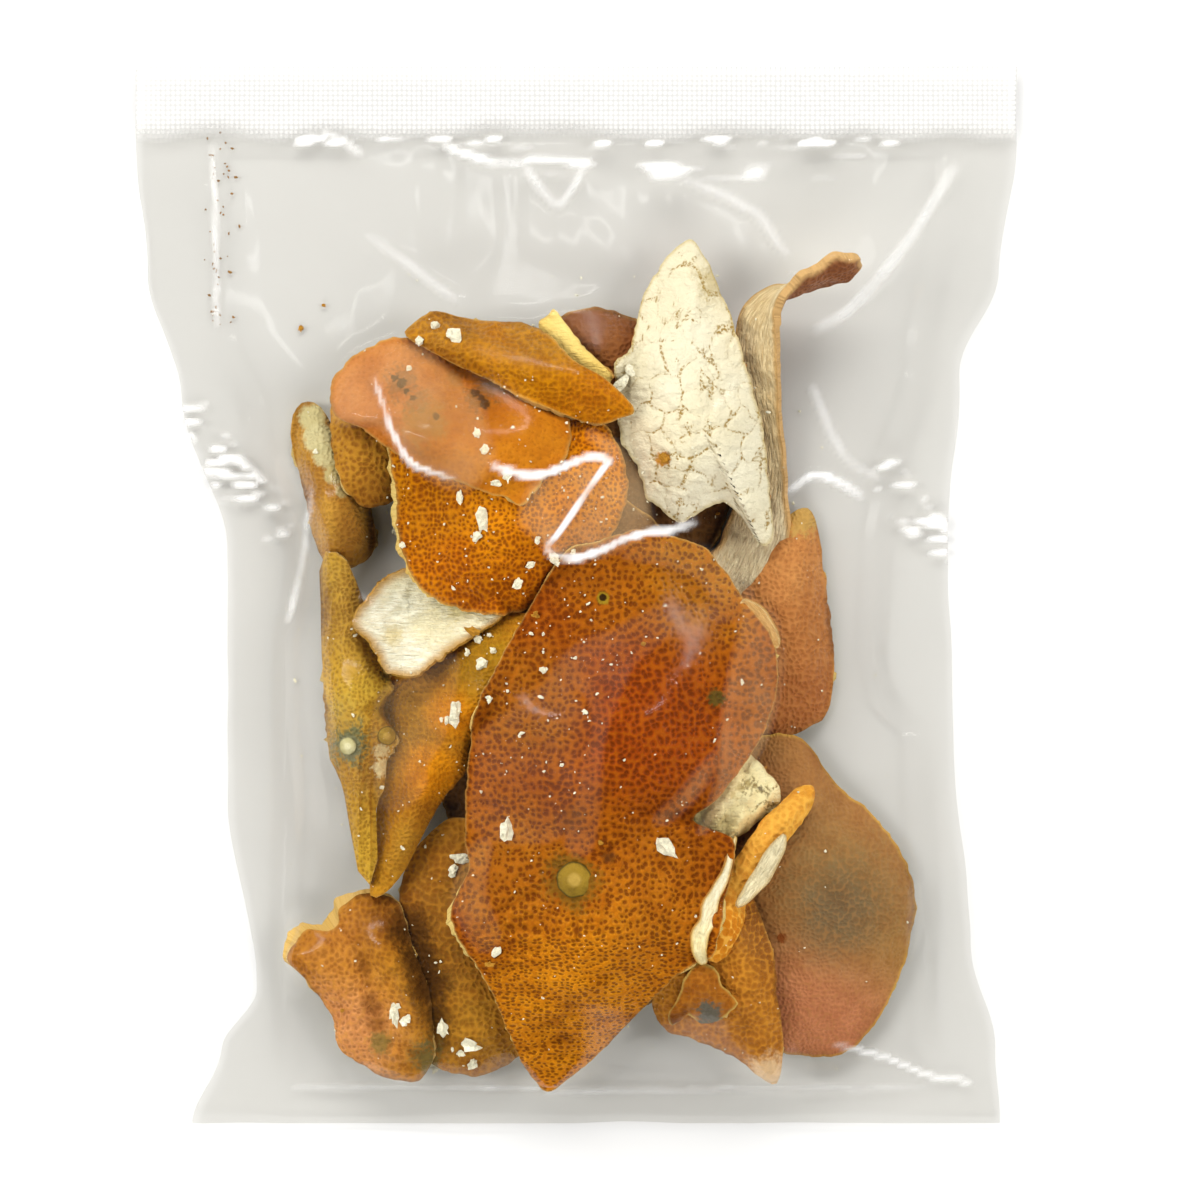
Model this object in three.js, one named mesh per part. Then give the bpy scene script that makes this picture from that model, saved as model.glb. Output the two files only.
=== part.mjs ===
// A sealed clear pouch filled with a heap of dried orange peel, lying flat on its back.
// Millimetres, +Z up. +Y runs from the bottom fold to the crimped top seal. The origin is the
// centre of the footprint, on the surface that the pouch lies on.
//
// The pouch is one closed solid: a flat base, a thin sealed border on all four sides, and an upper
// film that is carried by the pieces of peel under it, so that it follows their crests and sinks
// between them.
import * as THREE from "three";

// Pouch
const pouchLength = 182;
const topSealHeight = 12;
const bottomSealHeight = 6;
const sideSealWidth = 11;
const borderThickness = 0.9;
const borderLift = 1.6; // how far the sealed border rises off the surface
const baseSpread = 3; // how soon, going in from the border, the base comes down to the surface
const riseReach = 22; // how far in from a seal the film reaches its full height
const bodyHeight = 9; // height of the film where no peel carries it
const bottomWave = 1.1; // how far the cut edge at the bottom wanders
const bottomWaveCount = 0.8; // full waves from the middle of that edge to each side
const skirtFall = 0.55; // how far a crest has fallen at its own half width
const skirtPower = 3.2; // how sharply it falls past that
const crestSharpness = 8; // how clearly the higher of two crests wins

// Mesh
const stepsAcross = 36;
const stepsAlong = 44;

const top = pouchLength / 2;
const bottom = -pouchLength / 2;

// Where the left and right edges of the pouch run, as [y, x] from the top seal to the bottom seal.
// The filled pouch draws its sides in at the waist and flares again at the bottom fold.
const leftEdge = [
  [top, -76],
  [top - topSealHeight, -76],
  [56, -74],
  [34, -68],
  [8, -60],
  [-35, -60],
  [-68, -55],
  [-78, -61],
  [bottom, -66],
];
const rightEdge = [
  [top, 76],
  [top - topSealHeight, 76],
  [56, 73],
  [38, 66],
  [8, 64],
  [-25, 65],
  [-60, 68],
  [-78, 72],
  [bottom, 73],
];

// The crests that the largest pieces of peel press into the film.
const crests = [
  { name: "large peel", x: 6, y: -35, halfWidth: 30, halfLength: 52, height: 29.5, turn: 4 },
  { name: "domed peel", x: -11, y: 13, halfWidth: 27, halfLength: 22, height: 27, turn: 0 },
  { name: "top peel", x: -19, y: 36, halfWidth: 32, halfLength: 17, height: 26, turn: -28 },
  { name: "pith piece", x: 21, y: 32, halfWidth: 18, halfLength: 34, height: 24, turn: 8 },
  { name: "curled strip", x: 36, y: 36, halfWidth: 12, halfLength: 30, height: 18, turn: -20 },
  { name: "left roll", x: -41, y: 16, halfWidth: 15, halfLength: 26, height: 18, turn: 6 },
  { name: "left peel", x: -34, y: -28, halfWidth: 18, halfLength: 36, height: 19, turn: 6 },
  { name: "corner peel", x: -27, y: -64, halfWidth: 27, halfLength: 20, height: 18, turn: -15 },
  { name: "round peel", x: 43, y: -52, halfWidth: 24, halfLength: 30, height: 15, turn: 8 },
  { name: "right peel", x: 38, y: -4, halfWidth: 15, halfLength: 26, height: 15, turn: 0 },
  { name: "tip peel", x: 24, y: -68, halfWidth: 15, halfLength: 20, height: 18, turn: -12 },
];

const blend = (t) => t * t * (3 - 2 * t);

// The x of an edge at height y, eased from one station to the next.
function edgeAt(stations, y) {
  for (let i = 1; i < stations.length; i++) {
    const [yUpper, xUpper] = stations[i - 1];
    const [yLower, xLower] = stations[i];
    if (y >= yLower) {
      return THREE.MathUtils.lerp(xLower, xUpper, blend((y - yLower) / (yUpper - yLower)));
    }
  }
  return stations.at(-1)[1];
}

// How high one crest carries the film over the point x, y: a dome that ends on a skirt.
function crestHeight(crest, x, y) {
  const offset = new THREE.Vector2(x - crest.x, y - crest.y);
  offset.rotateAround(new THREE.Vector2(), THREE.MathUtils.degToRad(-crest.turn));
  const reach = Math.hypot(offset.x / crest.halfWidth, offset.y / crest.halfLength);
  return crest.height / (1 + skirtFall * reach ** skirtPower);
}

// The film over a heap: higher crests win, and where two are close the film bridges them.
function heapHeight(x, y) {
  const sum = crests.reduce((s, crest) => s + crestHeight(crest, x, y) ** crestSharpness, 0);
  return Math.max(bodyHeight, sum ** (1 / crestSharpness));
}

// 0 on the sealed border, 1 where the film is free of every seal.
function freedom(x, y) {
  const fromSides = Math.min(
    x - edgeAt(leftEdge, y) - sideSealWidth,
    edgeAt(rightEdge, y) - sideSealWidth - x,
  );
  const fromEnds = Math.min(top - topSealHeight - y, y - bottom - bottomSealHeight);
  const inside = THREE.MathUtils.clamp(Math.min(fromSides, fromEnds) / riseReach, 0, 1);
  return Math.sin((inside * Math.PI) / 2);
}

// Moves the edge at the bottom by a shallow wave that fades out above it.
function bottomShift(across, along) {
  const nearBottom = along < 0 ? along ** 4 : 0;
  return bottomWave * nearBottom * (1 - Math.sin(2 * Math.PI * bottomWaveCount * across));
}

function pouchGeometry() {
  const geometry = new THREE.BoxGeometry(2, 2, 1, stepsAcross, stepsAlong, 1);
  const position = geometry.getAttribute("position");
  for (let i = 0; i < position.count; i++) {
    const across = position.getX(i);
    const along = position.getY(i);
    const isUpper = position.getZ(i) > 0;

    const y = (along * pouchLength) / 2;
    const x = THREE.MathUtils.lerp(edgeAt(leftEdge, y), edgeAt(rightEdge, y), (across + 1) / 2);
    const free = freedom(x, y);
    const underside = borderLift * (1 - Math.min(1, baseSpread * free));
    const thickness = borderThickness + free * (heapHeight(x, y) - borderThickness);
    position.setXYZ(i, x, y + bottomShift(across, along), underside + (isUpper ? thickness : 0));
  }
  geometry.computeVertexNormals();
  return geometry;
}

const clearFilm = new THREE.MeshStandardMaterial({
  color: new THREE.Color(0.72, 0.42, 0.16),
  roughness: 0.2,
  metalness: 0,
  transparent: true,
  opacity: 0.6,
});

const pouch = new THREE.Mesh(pouchGeometry(), clearFilm);
pouch.name = "sealed_pouch";

const part = new THREE.Group();
part.add(pouch);

export default part;
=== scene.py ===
import math

import bmesh
import bpy
import numpy as np
from mathutils import Matrix, Vector, noise


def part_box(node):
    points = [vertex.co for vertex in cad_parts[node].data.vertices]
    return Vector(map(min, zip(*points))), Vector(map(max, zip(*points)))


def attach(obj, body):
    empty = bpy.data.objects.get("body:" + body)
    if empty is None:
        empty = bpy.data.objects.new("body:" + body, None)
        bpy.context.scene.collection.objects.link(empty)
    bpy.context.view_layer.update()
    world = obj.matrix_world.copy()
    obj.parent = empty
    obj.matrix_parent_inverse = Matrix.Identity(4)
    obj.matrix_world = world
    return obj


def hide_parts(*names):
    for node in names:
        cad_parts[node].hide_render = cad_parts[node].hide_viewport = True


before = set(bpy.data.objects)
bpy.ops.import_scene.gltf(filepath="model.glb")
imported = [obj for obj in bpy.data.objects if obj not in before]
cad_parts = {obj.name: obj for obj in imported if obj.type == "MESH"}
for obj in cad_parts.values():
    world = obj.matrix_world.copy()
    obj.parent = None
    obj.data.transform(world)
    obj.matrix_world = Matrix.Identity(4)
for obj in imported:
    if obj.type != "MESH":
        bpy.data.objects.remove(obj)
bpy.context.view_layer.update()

# A sealed clear pouch of dried orange peel, lying on its back. Lengths below are in millimetres,
# and colours are linear. Pieces are laid one after another on a height map of the heap, so that
# each one rests on those below it, and the film is drawn over the finished heap.
mm = 0.001
scene = bpy.context.scene
pouchLow, pouchHigh = (np.array(corner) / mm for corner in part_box("sealed_pouch"))


# ---- curves, noise and small helpers

def smoothCurve(points, steps, closed):
    # Catmull-Rom through given points, slackened a little so corners stay corners
    points = np.array(points, float)
    count = len(points)
    slack = 0.42
    curve = []
    for i in range(count if closed else count - 1):
        if closed:
            before, start, end, after = (points[(i + k) % count] for k in (-1, 0, 1, 2))
        else:
            before, start, end, after = (points[min(max(i + k, 0), count - 1)] for k in (-1, 0, 1, 2))
        t = np.linspace(0, 1, steps, endpoint=False)[:, None]
        out, into = slack * (end - before), slack * (after - start)
        curve.append((2 * t**3 - 3 * t**2 + 1) * start + (t**3 - 2 * t**2 + t) * out
                     + (3 * t**2 - 2 * t**3) * end + (t**3 - t**2) * into)
    if not closed:
        curve.append(points[-1:])
    return np.concatenate(curve)


def noiseAt(x, y, size, seed):
    # smooth noise from about -1 to 1, with features of the given size
    flat = [noise.noise((a, b, seed)) for a, b in zip((x / size).ravel(), (y / size).ravel())]
    return np.array(flat).reshape(x.shape)


def ease(low, high, value):
    t = np.clip((value - low) / (high - low), 0, 1)
    return t * t * (3 - 2 * t)


def sidesOf(field):
    # each cell's neighbours below, above, left and right
    wide = np.pad(field, 1, mode="edge")
    return wide[:-2, 1:-1], wide[2:, 1:-1], wide[1:-1, :-2], wide[1:-1, 2:]


def soften(field, times):
    for _ in range(times):
        field = 0.5 * field + 0.125 * sum(sidesOf(field))
    return field


def distanceToPath(x, y, path):
    # distance to a polyline, and how far along it the nearest point is, from 0 to 1
    best = np.full(x.shape, 1e9)
    along = np.zeros(x.shape)
    for i in range(len(path) - 1):
        start, end = np.array(path[i], float), np.array(path[i + 1], float)
        run = end - start
        t = np.clip(((x - start[0]) * run[0] + (y - start[1]) * run[1]) / (run @ run), 0, 1)
        d = np.hypot(x - start[0] - t * run[0], y - start[1] - t * run[1])
        nearer = d < best
        best = np.where(nearer, d, best)
        along = np.where(nearer, (i + t) / (len(path) - 1), along)
    return best, along


def crackedPlates(x, y, size, seed):
    # distance to the nearest crack between plates of about the given size
    x = x + 0.22 * size * noiseAt(x, y, 0.55 * size, seed)
    y = y + 0.22 * size * noiseAt(x, y, 0.55 * size, seed + 40)
    column, row = np.floor(x / size), np.floor(y / size)
    nearest = np.full(x.shape, 1e9)
    second = np.full(x.shape, 1e9)
    for i in (-1, 0, 1):
        for j in (-1, 0, 1):
            tileX, tileY = column + i, row + j
            jitterX = np.modf(np.sin(tileX * 127.1 + tileY * 311.7 + seed) * 437.5)[0] * 0.5
            jitterY = np.modf(np.sin(tileX * 269.5 + tileY * 183.3 + seed) * 437.5)[0] * 0.5
            d = np.hypot((tileX + 0.5 + jitterX) * size - x, (tileY + 0.5 + jitterY) * size - y)
            second = np.minimum(second, np.maximum(nearest, d))
            nearest = np.minimum(nearest, d)
    return (second - nearest) / 2


def insideOutline(x, y, outline, softness):
    # 1 inside a closed outline and 0 outside, with a soft border
    closed = np.concatenate([outline, outline[:1]])
    d, _ = distanceToPath(x, y, closed)
    crossings = np.zeros(x.shape, bool)
    for (ax, ay), (bx, by) in zip(closed[:-1], closed[1:]):
        if ay != by:
            crossings ^= ((ay > y) != (by > y)) & (x < ax + (y - ay) * (bx - ax) / (by - ay))
    return ease(-1, 1, np.where(crossings, d, -d) / softness)


# ---- the height map that the pieces are laid on

heapMap = {"cell": 0.75, "margin": 6, "floor": 0.35, "bedSoftness": 90, "digIn": 5, "giveWay": 14}
mapLeft, mapBottom = pouchLow[0] - heapMap["margin"], pouchLow[1] - heapMap["margin"]
mapColumns = int((pouchHigh[0] - pouchLow[0] + 2 * heapMap["margin"]) / heapMap["cell"])
mapRows = int((pouchHigh[1] - pouchLow[1] + 2 * heapMap["margin"]) / heapMap["cell"])
heapTop = np.full((mapRows, mapColumns), heapMap["floor"])


def readMap(field, x, y):
    column = np.clip((x - mapLeft) / heapMap["cell"], 0, mapColumns - 1.001)
    row = np.clip((y - mapBottom) / heapMap["cell"], 0, mapRows - 1.001)
    i, j = column.astype(int), row.astype(int)
    s, t = column - i, row - j
    return ((field[j, i] * (1 - s) + field[j, i + 1] * s) * (1 - t)
            + (field[j + 1, i] * (1 - s) + field[j + 1, i + 1] * s) * t)


def heapAt(x, y):
    return readMap(heapTop, np.array([x]), np.array([y]))[0]


def addToHeap(x, y, z):
    column = np.clip(np.round((x - mapLeft) / heapMap["cell"]).astype(int), 0, mapColumns - 1)
    row = np.clip(np.round((y - mapBottom) / heapMap["cell"]).astype(int), 0, mapRows - 1)
    np.maximum.at(heapTop, (row.ravel(), column.ravel()), z.ravel())


def addSheetToHeap(x, y, z):
    # also between the points of the sheet, so that no cell of the map is missed
    for s in (0, 0.33, 0.67):
        for t in (0, 0.33, 0.67):
            addToHeap(*((f[:-1, :-1] * (1 - s) + f[:-1, 1:] * s) * (1 - t)
                        + (f[1:, :-1] * (1 - s) + f[1:, 1:] * s) * t for f in (x, y, z)))


def layOnHeap(x, y, shape, thick, follow):
    # drops a shape on the heap: it follows the bed softly, then gives way where it still digs in
    bed = readMap(soften(heapTop, heapMap["bedSoftness"]), x, y)
    z = shape + follow * bed + (1 - follow) * bed.mean()
    z -= np.percentile(z - thick - readMap(heapTop, x, y), heapMap["digIn"])
    for _ in range(heapMap["giveWay"]):
        z = z + 1.4 * soften(np.maximum(0, readMap(heapTop, x, y) + thick + 0.15 - z), 4)
    return np.maximum(z, readMap(heapTop, x, y) + thick + 0.05)


# ---- from a grid of points to a closed shell

def gridNormals(points):
    across = np.gradient(points, axis=1)
    along = np.gradient(points, axis=0)
    normal = np.cross(across, along)
    return normal / np.maximum(np.linalg.norm(normal, axis=2, keepdims=True), 1e-9)


def meshFrom(bm, name, *materials):
    mesh = bpy.data.meshes.new(name)
    bm.to_mesh(mesh)
    bm.free()
    for material in materials:
        mesh.materials.append(material)
    return mesh


def addMark(mesh, name, values):
    mesh.attributes.new(name, "FLOAT", "POINT").data.foreach_set("value", values)


def smoothFaces(mesh):
    mesh.polygons.foreach_set("use_smooth", np.ones(len(mesh.polygons), bool))


def addPiece(name, mesh):
    piece = bpy.data.objects.new(name, mesh)
    scene.collection.objects.link(piece)
    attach(piece, "root")
    return piece


def blankSheet(columns, rows):
    # a flat double sheet, closed at its border, with the grid place of each vertex
    bm = bmesh.new()
    bmesh.ops.create_grid(bm, x_segments=columns - 1, y_segments=rows - 1, size=1)
    upperFaces = bm.faces[:]
    lower = bmesh.ops.extrude_face_region(bm, geom=bm.faces[:], use_keep_orig=True)["geom"]
    for face in upperFaces:
        face.material_index = 1
    bm.verts.index_update()
    isLower = np.zeros(len(bm.verts), bool)
    isLower[[part.index for part in lower if isinstance(part, bmesh.types.BMVert)]] = True
    flat = np.array([vert.co[:2] for vert in bm.verts])
    column = np.round((flat[:, 0] + 1) / 2 * (columns - 1)).astype(int)
    row = np.round((flat[:, 1] + 1) / 2 * (rows - 1)).astype(int)
    return bm, isLower, row, column


def makeShell(name, upper, lower, flatPlace, marks, upperMaterial, lowerMaterial, sharp=48):
    # marks are masks kept on the mesh, for the materials to read
    rows, columns = upper.shape[:2]
    bm, isLower, row, column = blankSheet(columns, rows)
    place = np.where(isLower[:, None], lower[row, column], upper[row, column]) * mm
    for vert, point in zip(bm.verts, place):
        vert.co = point
    bmesh.ops.recalc_face_normals(bm, faces=bm.faces[:])
    mesh = meshFrom(bm, name, lowerMaterial, upperMaterial)
    for markName, values in marks.items():
        addMark(mesh, markName, values[row, column].astype(np.float32))
    loopVerts = np.zeros(len(mesh.loops), np.int32)
    mesh.loops.foreach_get("vertex_index", loopVerts)
    flat = (flatPlace[row, column] / 10)[loopVerts]
    mesh.uv_layers.new(name="peel").data.foreach_set("uv", flat.astype(np.float32).ravel())
    smoothFaces(mesh)
    if sharp:
        mesh.set_sharp_from_angle(angle=math.radians(sharp))
    return addPiece(name, mesh)


# ---- peel pieces

# what a leaf is unless its own row says otherwise
leafBase = {
    "step": 0.62, "dome": 3, "waves": 1.0, "ripple": 0.3, "pebble": 0.07, "tear": 0.35, "thick": 2.1,
    "edgeThin": 0.45, "follow": 0.6, "lift": 0, "rim": 0.15, "rimWidth": 0.6,
    "bends": [],  # bearing, amount, span
    "folds": [],  # path, width, height
    "curls": [],  # bearing, narrowness, amount
    "wrinkles": [],  # x, y, radius, turn, size, height
    "rims": [],  # bearing, narrowness, how much pith shows there
    "pinch": (0, 0),  # below this y the glands are drawn out by this share
}
ribbonBase = {
    "softBed": 12, "step": 0.5, "taper": 3.0, "tear": 0.12, "ripple": 0.3, "thick": 1.9, "rimWidth": 0.6,
}


def shapeOfLeaf(look, x, y, reach, angle):
    fromX, fromY = x - look["centre"][0], y - look["centre"][1]
    shape = look["dome"] * (1 - reach**2)
    for bearing, amount, span in look["bends"]:
        t = fromX * math.cos(math.radians(bearing)) + fromY * math.sin(math.radians(bearing))
        shape = shape - amount * (t / span) ** 2
    for path, width, height in look["folds"]:
        d, along = distanceToPath(x, y, path)
        shape = shape + height * np.exp(-((d / width) ** 2)) * (0.45 + 0.55 * np.sin(math.pi * along))
    for bearing, narrow, amount in look["curls"]:
        facing = np.maximum(0, np.cos(angle - math.radians(bearing))) ** narrow
        shape = shape + amount * facing * reach**5
    seed = look["seed"]
    for x0, y0, radius, turn, size, height in look["wrinkles"]:
        lean = math.radians(turn)
        run = (x - x0) * math.cos(lean) + (y - y0) * math.sin(lean)
        cross = (y - y0) * math.cos(lean) - (x - x0) * math.sin(lean)
        near = np.exp(-((np.hypot(run, cross) / radius) ** 4))
        shape = shape + height * near * noiseAt(run / 4, cross, size, seed + x0)
    shape = shape + look["waves"] * noiseAt(x, y, 17, seed) * (0.4 + 0.6 * reach)
    shape = shape + look["ripple"] * noiseAt(x, y, 5.5, seed + 7)
    shape = shape + look["pebble"] * noiseAt(x, y, 1.25, seed + 13)
    crack = np.zeros(x.shape)
    if "plates" in look:
        size, height = look["plates"]
        apart = crackedPlates(x, y, size, seed)
        finer = crackedPlates(x, y, size * 0.42, seed + 1)
        shape = shape + height * (1 - np.exp(-apart / 0.9)) + 0.22 * height * (1 - np.exp(-finer / 0.5))
        crack = np.clip(1 - apart, 0, 1) * (0.8 + 0.2 * ease(-0.2, 0.25, noiseAt(x, y, 6, seed + 2)))
        fine = np.clip(0.95 - finer, 0, 1) * ease(0.05, 0.3, noiseAt(x, y, 5, seed + 9))
        crack = np.maximum(crack, fine)
    return shape, crack


def makeLeaf(name, look, upperMaterial, lowerMaterial):
    # a piece torn to an outline: a disc of quads stretched out to the outline
    look = {**leafBase, **look}
    seed, step = look["seed"], look["step"]
    outline = smoothCurve(look["outline"], 20, True)
    centre = np.array(look["centre"], float)
    width, length = outline.max(0) - outline.min(0)
    columns, rows = int(width / step) + 1, int(length / step) + 1
    u, v = np.meshgrid(np.linspace(-1, 1, columns), np.linspace(-1, 1, rows))
    discX, discY = u * np.sqrt(1 - v * v / 2), v * np.sqrt(1 - u * u / 2)
    reach, angle = np.hypot(discX, discY), np.arctan2(discY, discX)
    offset = outline - centre
    bearings = np.arctan2(offset[:, 1], offset[:, 0])
    order = np.argsort(bearings)
    radius = np.interp(angle, bearings[order], np.hypot(*offset.T)[order], period=2 * math.pi)
    edgeX, edgeY = centre[0] + radius * np.cos(angle), centre[1] + radius * np.sin(angle)
    torn = noiseAt(edgeX, edgeY, 2.2, seed + 3) + 0.5 * noiseAt(edgeX, edgeY, 0.9, seed + 5)
    radius = radius + look["tear"] * torn * reach**4
    x, y = centre[0] + radius * reach * np.cos(angle), centre[1] + radius * reach * np.sin(angle)

    thick = look["thick"] * (1 - look["edgeThin"] * reach**6) * (1 + 0.12 * noiseAt(x, y, 4, seed + 21))
    shape, crack = shapeOfLeaf(look, x, y, reach, angle)
    z = layOnHeap(x, y, shape, thick, look["follow"]) + look["lift"]
    upper = np.stack([x, y, z], 2)
    lower = upper - gridNormals(upper) * thick[..., None] * (0.4, 0.4, 1)
    # on steep places the underside stays under all of the skin around it
    wide = np.pad(z, 2, mode="edge")
    lowest = np.min([wide[i:i + rows, j:j + columns] for i in range(5) for j in range(5)], axis=0)
    lower[..., 2] = np.minimum(lower[..., 2], lowest - 0.3)
    rim = look["rim"] + 0 * angle
    for bearing, narrow, amount in look["rims"]:
        rim = rim + amount * np.maximum(0, np.cos(angle - math.radians(bearing))) ** narrow
    spread = rim * reach**14 * (0.7 + 0.5 * noiseAt(x, y, 3, seed + 31))
    lower[..., 0] += spread * np.cos(angle)
    lower[..., 1] += spread * np.sin(angle)
    lower[..., 2] = np.maximum(lower[..., 2], heapMap["floor"] - 0.1)
    addSheetToHeap(x, y, z)
    pinchFrom, pinch = look["pinch"]
    flat = np.stack([x, y - pinch * np.maximum(0, pinchFrom - y)], 2)
    # this mask paints shade: it darkens the skin wherever the surface lies below its smoothed shape, in dips
    # and wrinkles
    marks = {"edge": ease(look["rimWidth"], 0, (1 - reach) * radius), "crack": crack,
             "shadeInHollows": ease(0.05, 0.8, soften(z, 25) - z)}
    makeShell(name, upper, lower, flat, marks, upperMaterial, lowerMaterial)


def makeRibbon(name, look, upperMaterial, lowerMaterial):
    # a strip along a path: rows of x, y, height above the heap, half width, turn and curl in degrees
    look = {**ribbonBase, **look}
    seed, step, taper = look["seed"], look["step"], look["taper"]
    path = np.array(look["path"], float)
    path[:, 2] += readMap(soften(heapTop, look["softBed"]), path[:, 0], path[:, 1])
    curve = smoothCurve(path, 12, False)
    runs = np.concatenate([[0], np.cumsum(np.linalg.norm(np.diff(curve[:, :3], axis=0), axis=1))])
    length = runs[-1]
    rows, columns = int(length / step), max(int(2 * path[:, 3].max() / step), 8)
    stations = np.linspace(0, length, rows)
    curve = np.stack([np.interp(stations, runs, curve[:, k]) for k in range(6)], 1)
    spine = curve[:, :3]
    tangent = np.gradient(spine, axis=0)
    tangent /= np.linalg.norm(tangent, axis=1, keepdims=True)
    side = np.cross(tangent, [0, 0, 1])
    side /= np.linalg.norm(side, axis=1, keepdims=True)
    up = np.cross(side, tangent)
    turn = np.radians(curve[:, 4])[:, None]
    side, up = side * np.cos(turn) + up * np.sin(turn), up * np.cos(turn) - side * np.sin(turn)

    ends = np.minimum(stations, length - stations)
    rounding = np.sqrt(1 - (1 - np.clip((ends + 0.12) / taper, 0, 1)) ** 2)
    t = np.linspace(-1, 1, columns)[None, :]
    spineX = spine[:, :1] + 0 * t
    torn = noiseAt(spineX, 0 * spineX + np.sign(t) * 9, 2.4, seed)
    half = (curve[:, 3] * rounding)[:, None] * (1 + look["tear"] * torn)
    curl = np.radians(curve[:, 5])[:, None] + 1e-3
    swing = t * curl / 2
    bow = half / (curl / 2)
    place = (spine[:, None] + side[:, None] * (bow * np.sin(swing))[..., None]
             + up[:, None] * (bow * (1 - np.cos(swing)))[..., None])
    flat = np.stack([stations[:, None] + 0 * t, t * half], 2)
    normals = gridNormals(place[:, ::-1])[:, ::-1] * -1
    bumps = (look["ripple"] * noiseAt(flat[..., 0], flat[..., 1], 4, seed + 2)
             + 0.12 * noiseAt(flat[..., 0], flat[..., 1], 1.3, seed + 4))
    place = place + normals * bumps[..., None]
    reach = np.maximum(np.abs(t) + 0 * half, 1 - np.clip(ends / taper, 0, 1)[:, None])
    under = place - normals * (look["thick"] * (1 - 0.45 * reach**5))[..., None]
    raised = max(0, heapMap["floor"] - min(place[..., 2].min(), under[..., 2].min()))
    for layer in (place, under):
        layer[..., 2] += raised
        addSheetToHeap(layer[..., 0], layer[..., 1], layer[..., 2])
    inward = np.minimum(half * (1 - np.abs(t)), ends[:, None] + 0 * t)
    marks = {"edge": ease(look["rimWidth"], 0, inward), "crack": 0 * inward}
    makeShell(name, place, under, flat, marks, upperMaterial, lowerMaterial)


# ---- shader helpers and shared node groups

def newNode(tree, kind, **settings):
    node = tree.nodes.new(kind)
    for key, value in settings.items():
        setattr(node, key, value)
    return node


def feed(tree, value, socket):
    # a number or a colour is set on the socket, and anything else is wired to it
    if isinstance(value, (int, float)):
        socket.default_value = value
    elif isinstance(value, tuple):
        socket.default_value = (*value, 1) if socket.type == "RGBA" else value
    else:
        tree.links.new(value, socket)


def feedAll(tree, node, *inOrder, **byName):
    for slot, value in [*enumerate(inOrder), *byName.items()]:
        feed(tree, value, node.inputs[slot])
    return node.outputs


def mathNode(tree, operation, *values, clamp=False):
    return feedAll(tree, newNode(tree, "ShaderNodeMath", operation=operation, use_clamp=clamp), *values)[0]


def vectorNode(tree, operation, *values):
    return feedAll(tree, newNode(tree, "ShaderNodeVectorMath", operation=operation), *values)


def rangeNode(tree, value, fromLow, fromHigh, toLow=0.0, toHigh=1.0, smooth=True):
    node = newNode(tree, "ShaderNodeMapRange", interpolation_type="SMOOTHSTEP" if smooth else "LINEAR")
    return feedAll(tree, node, value, fromLow, fromHigh, toLow, toHigh)["Result"]


def mixColour(tree, factor, first, second, blend="MIX"):
    node = newNode(tree, "ShaderNodeMix", data_type="RGBA", blend_type=blend)
    feed(tree, factor, node.inputs[0])
    feed(tree, first, node.inputs[6])
    feed(tree, second, node.inputs[7])
    return node.outputs[2]


def stain(tree, colour, mask, strength, tint, blend="MIX"):
    return mixColour(tree, mathNode(tree, "MULTIPLY", mask, strength), colour, tint, blend)


def noiseNode(tree, vector, scale, detail, rough=0.55, distortion=0.0):
    return feedAll(tree, newNode(tree, "ShaderNodeTexNoise"), Vector=vector, Scale=scale, Detail=detail,
                   Roughness=rough, Distortion=distortion)["Fac"]


def cloudNode(tree, vector, low, high, *noiseSettings):
    return rangeNode(tree, noiseNode(tree, vector, *noiseSettings), low, high)


def bumpNode(tree, height, strength, distance):
    node = newNode(tree, "ShaderNodeBump")
    return feedAll(tree, node, Strength=strength, Distance=distance, Height=height)["Normal"]


def markNode(tree, name):
    return newNode(tree, "ShaderNodeAttribute", attribute_name=name).outputs["Fac"]


def placeGroup(tree, group, **inputs):
    return feedAll(tree, newNode(tree, "ShaderNodeGroup", node_tree=group), **inputs)


def startGroup(name, vector, numbers, results):
    group = bpy.data.node_groups.new(name, "ShaderNodeTree")
    for label in vector:
        group.interface.new_socket(name=label, in_out="INPUT", socket_type="NodeSocketVector")
    for label, value in numbers.items():
        socket = group.interface.new_socket(name=label, in_out="INPUT", socket_type="NodeSocketFloat")
        socket.default_value = value
    for label in results:
        group.interface.new_socket(name=label, in_out="OUTPUT", socket_type="NodeSocketFloat")
    return group, newNode(group, "NodeGroupInput").outputs, newNode(group, "NodeGroupOutput").inputs


def makeGlandGroup():
    # oil glands of the rind: dark dots in a pebbled skin. Coordinates are in centimetres of skin
    group, given, out = startGroup("oilGlands", ["Coordinates"], {"PerCm": 9.4, "DotSize": 0.3},
                                   ["Dot", "Relief", "Net"])
    place = given["Coordinates"]
    wobble = feedAll(group, newNode(group, "ShaderNodeTexNoise"), Vector=place, Scale=3, Detail=1)["Color"]
    shifted = vectorNode(group, "MULTIPLY_ADD", wobble, (0.17, 0.17, 0.0), place)[0]
    cells = newNode(group, "ShaderNodeTexVoronoi", voronoi_dimensions="2D", feature="F1")
    apart = feedAll(group, cells, Vector=shifted, Scale=given["PerCm"], Randomness=0.72)["Distance"]
    patchy = rangeNode(group, noiseNode(group, place, 1.8, 1), 0.3, 0.7, 0.75, 1.25)
    size = mathNode(group, "MULTIPLY", given["DotSize"], patchy)
    inner, outer = (mathNode(group, "MULTIPLY", size, share) for share in (0.5, 1.25))
    feed(group, rangeNode(group, apart, inner, outer, 1.0, 0.0), out["Dot"])
    feed(group, rangeNode(group, apart, 0.05, 0.62), out["Relief"])
    feed(group, rangeNode(group, apart, 0.42, 0.66), out["Net"])
    return group


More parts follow.
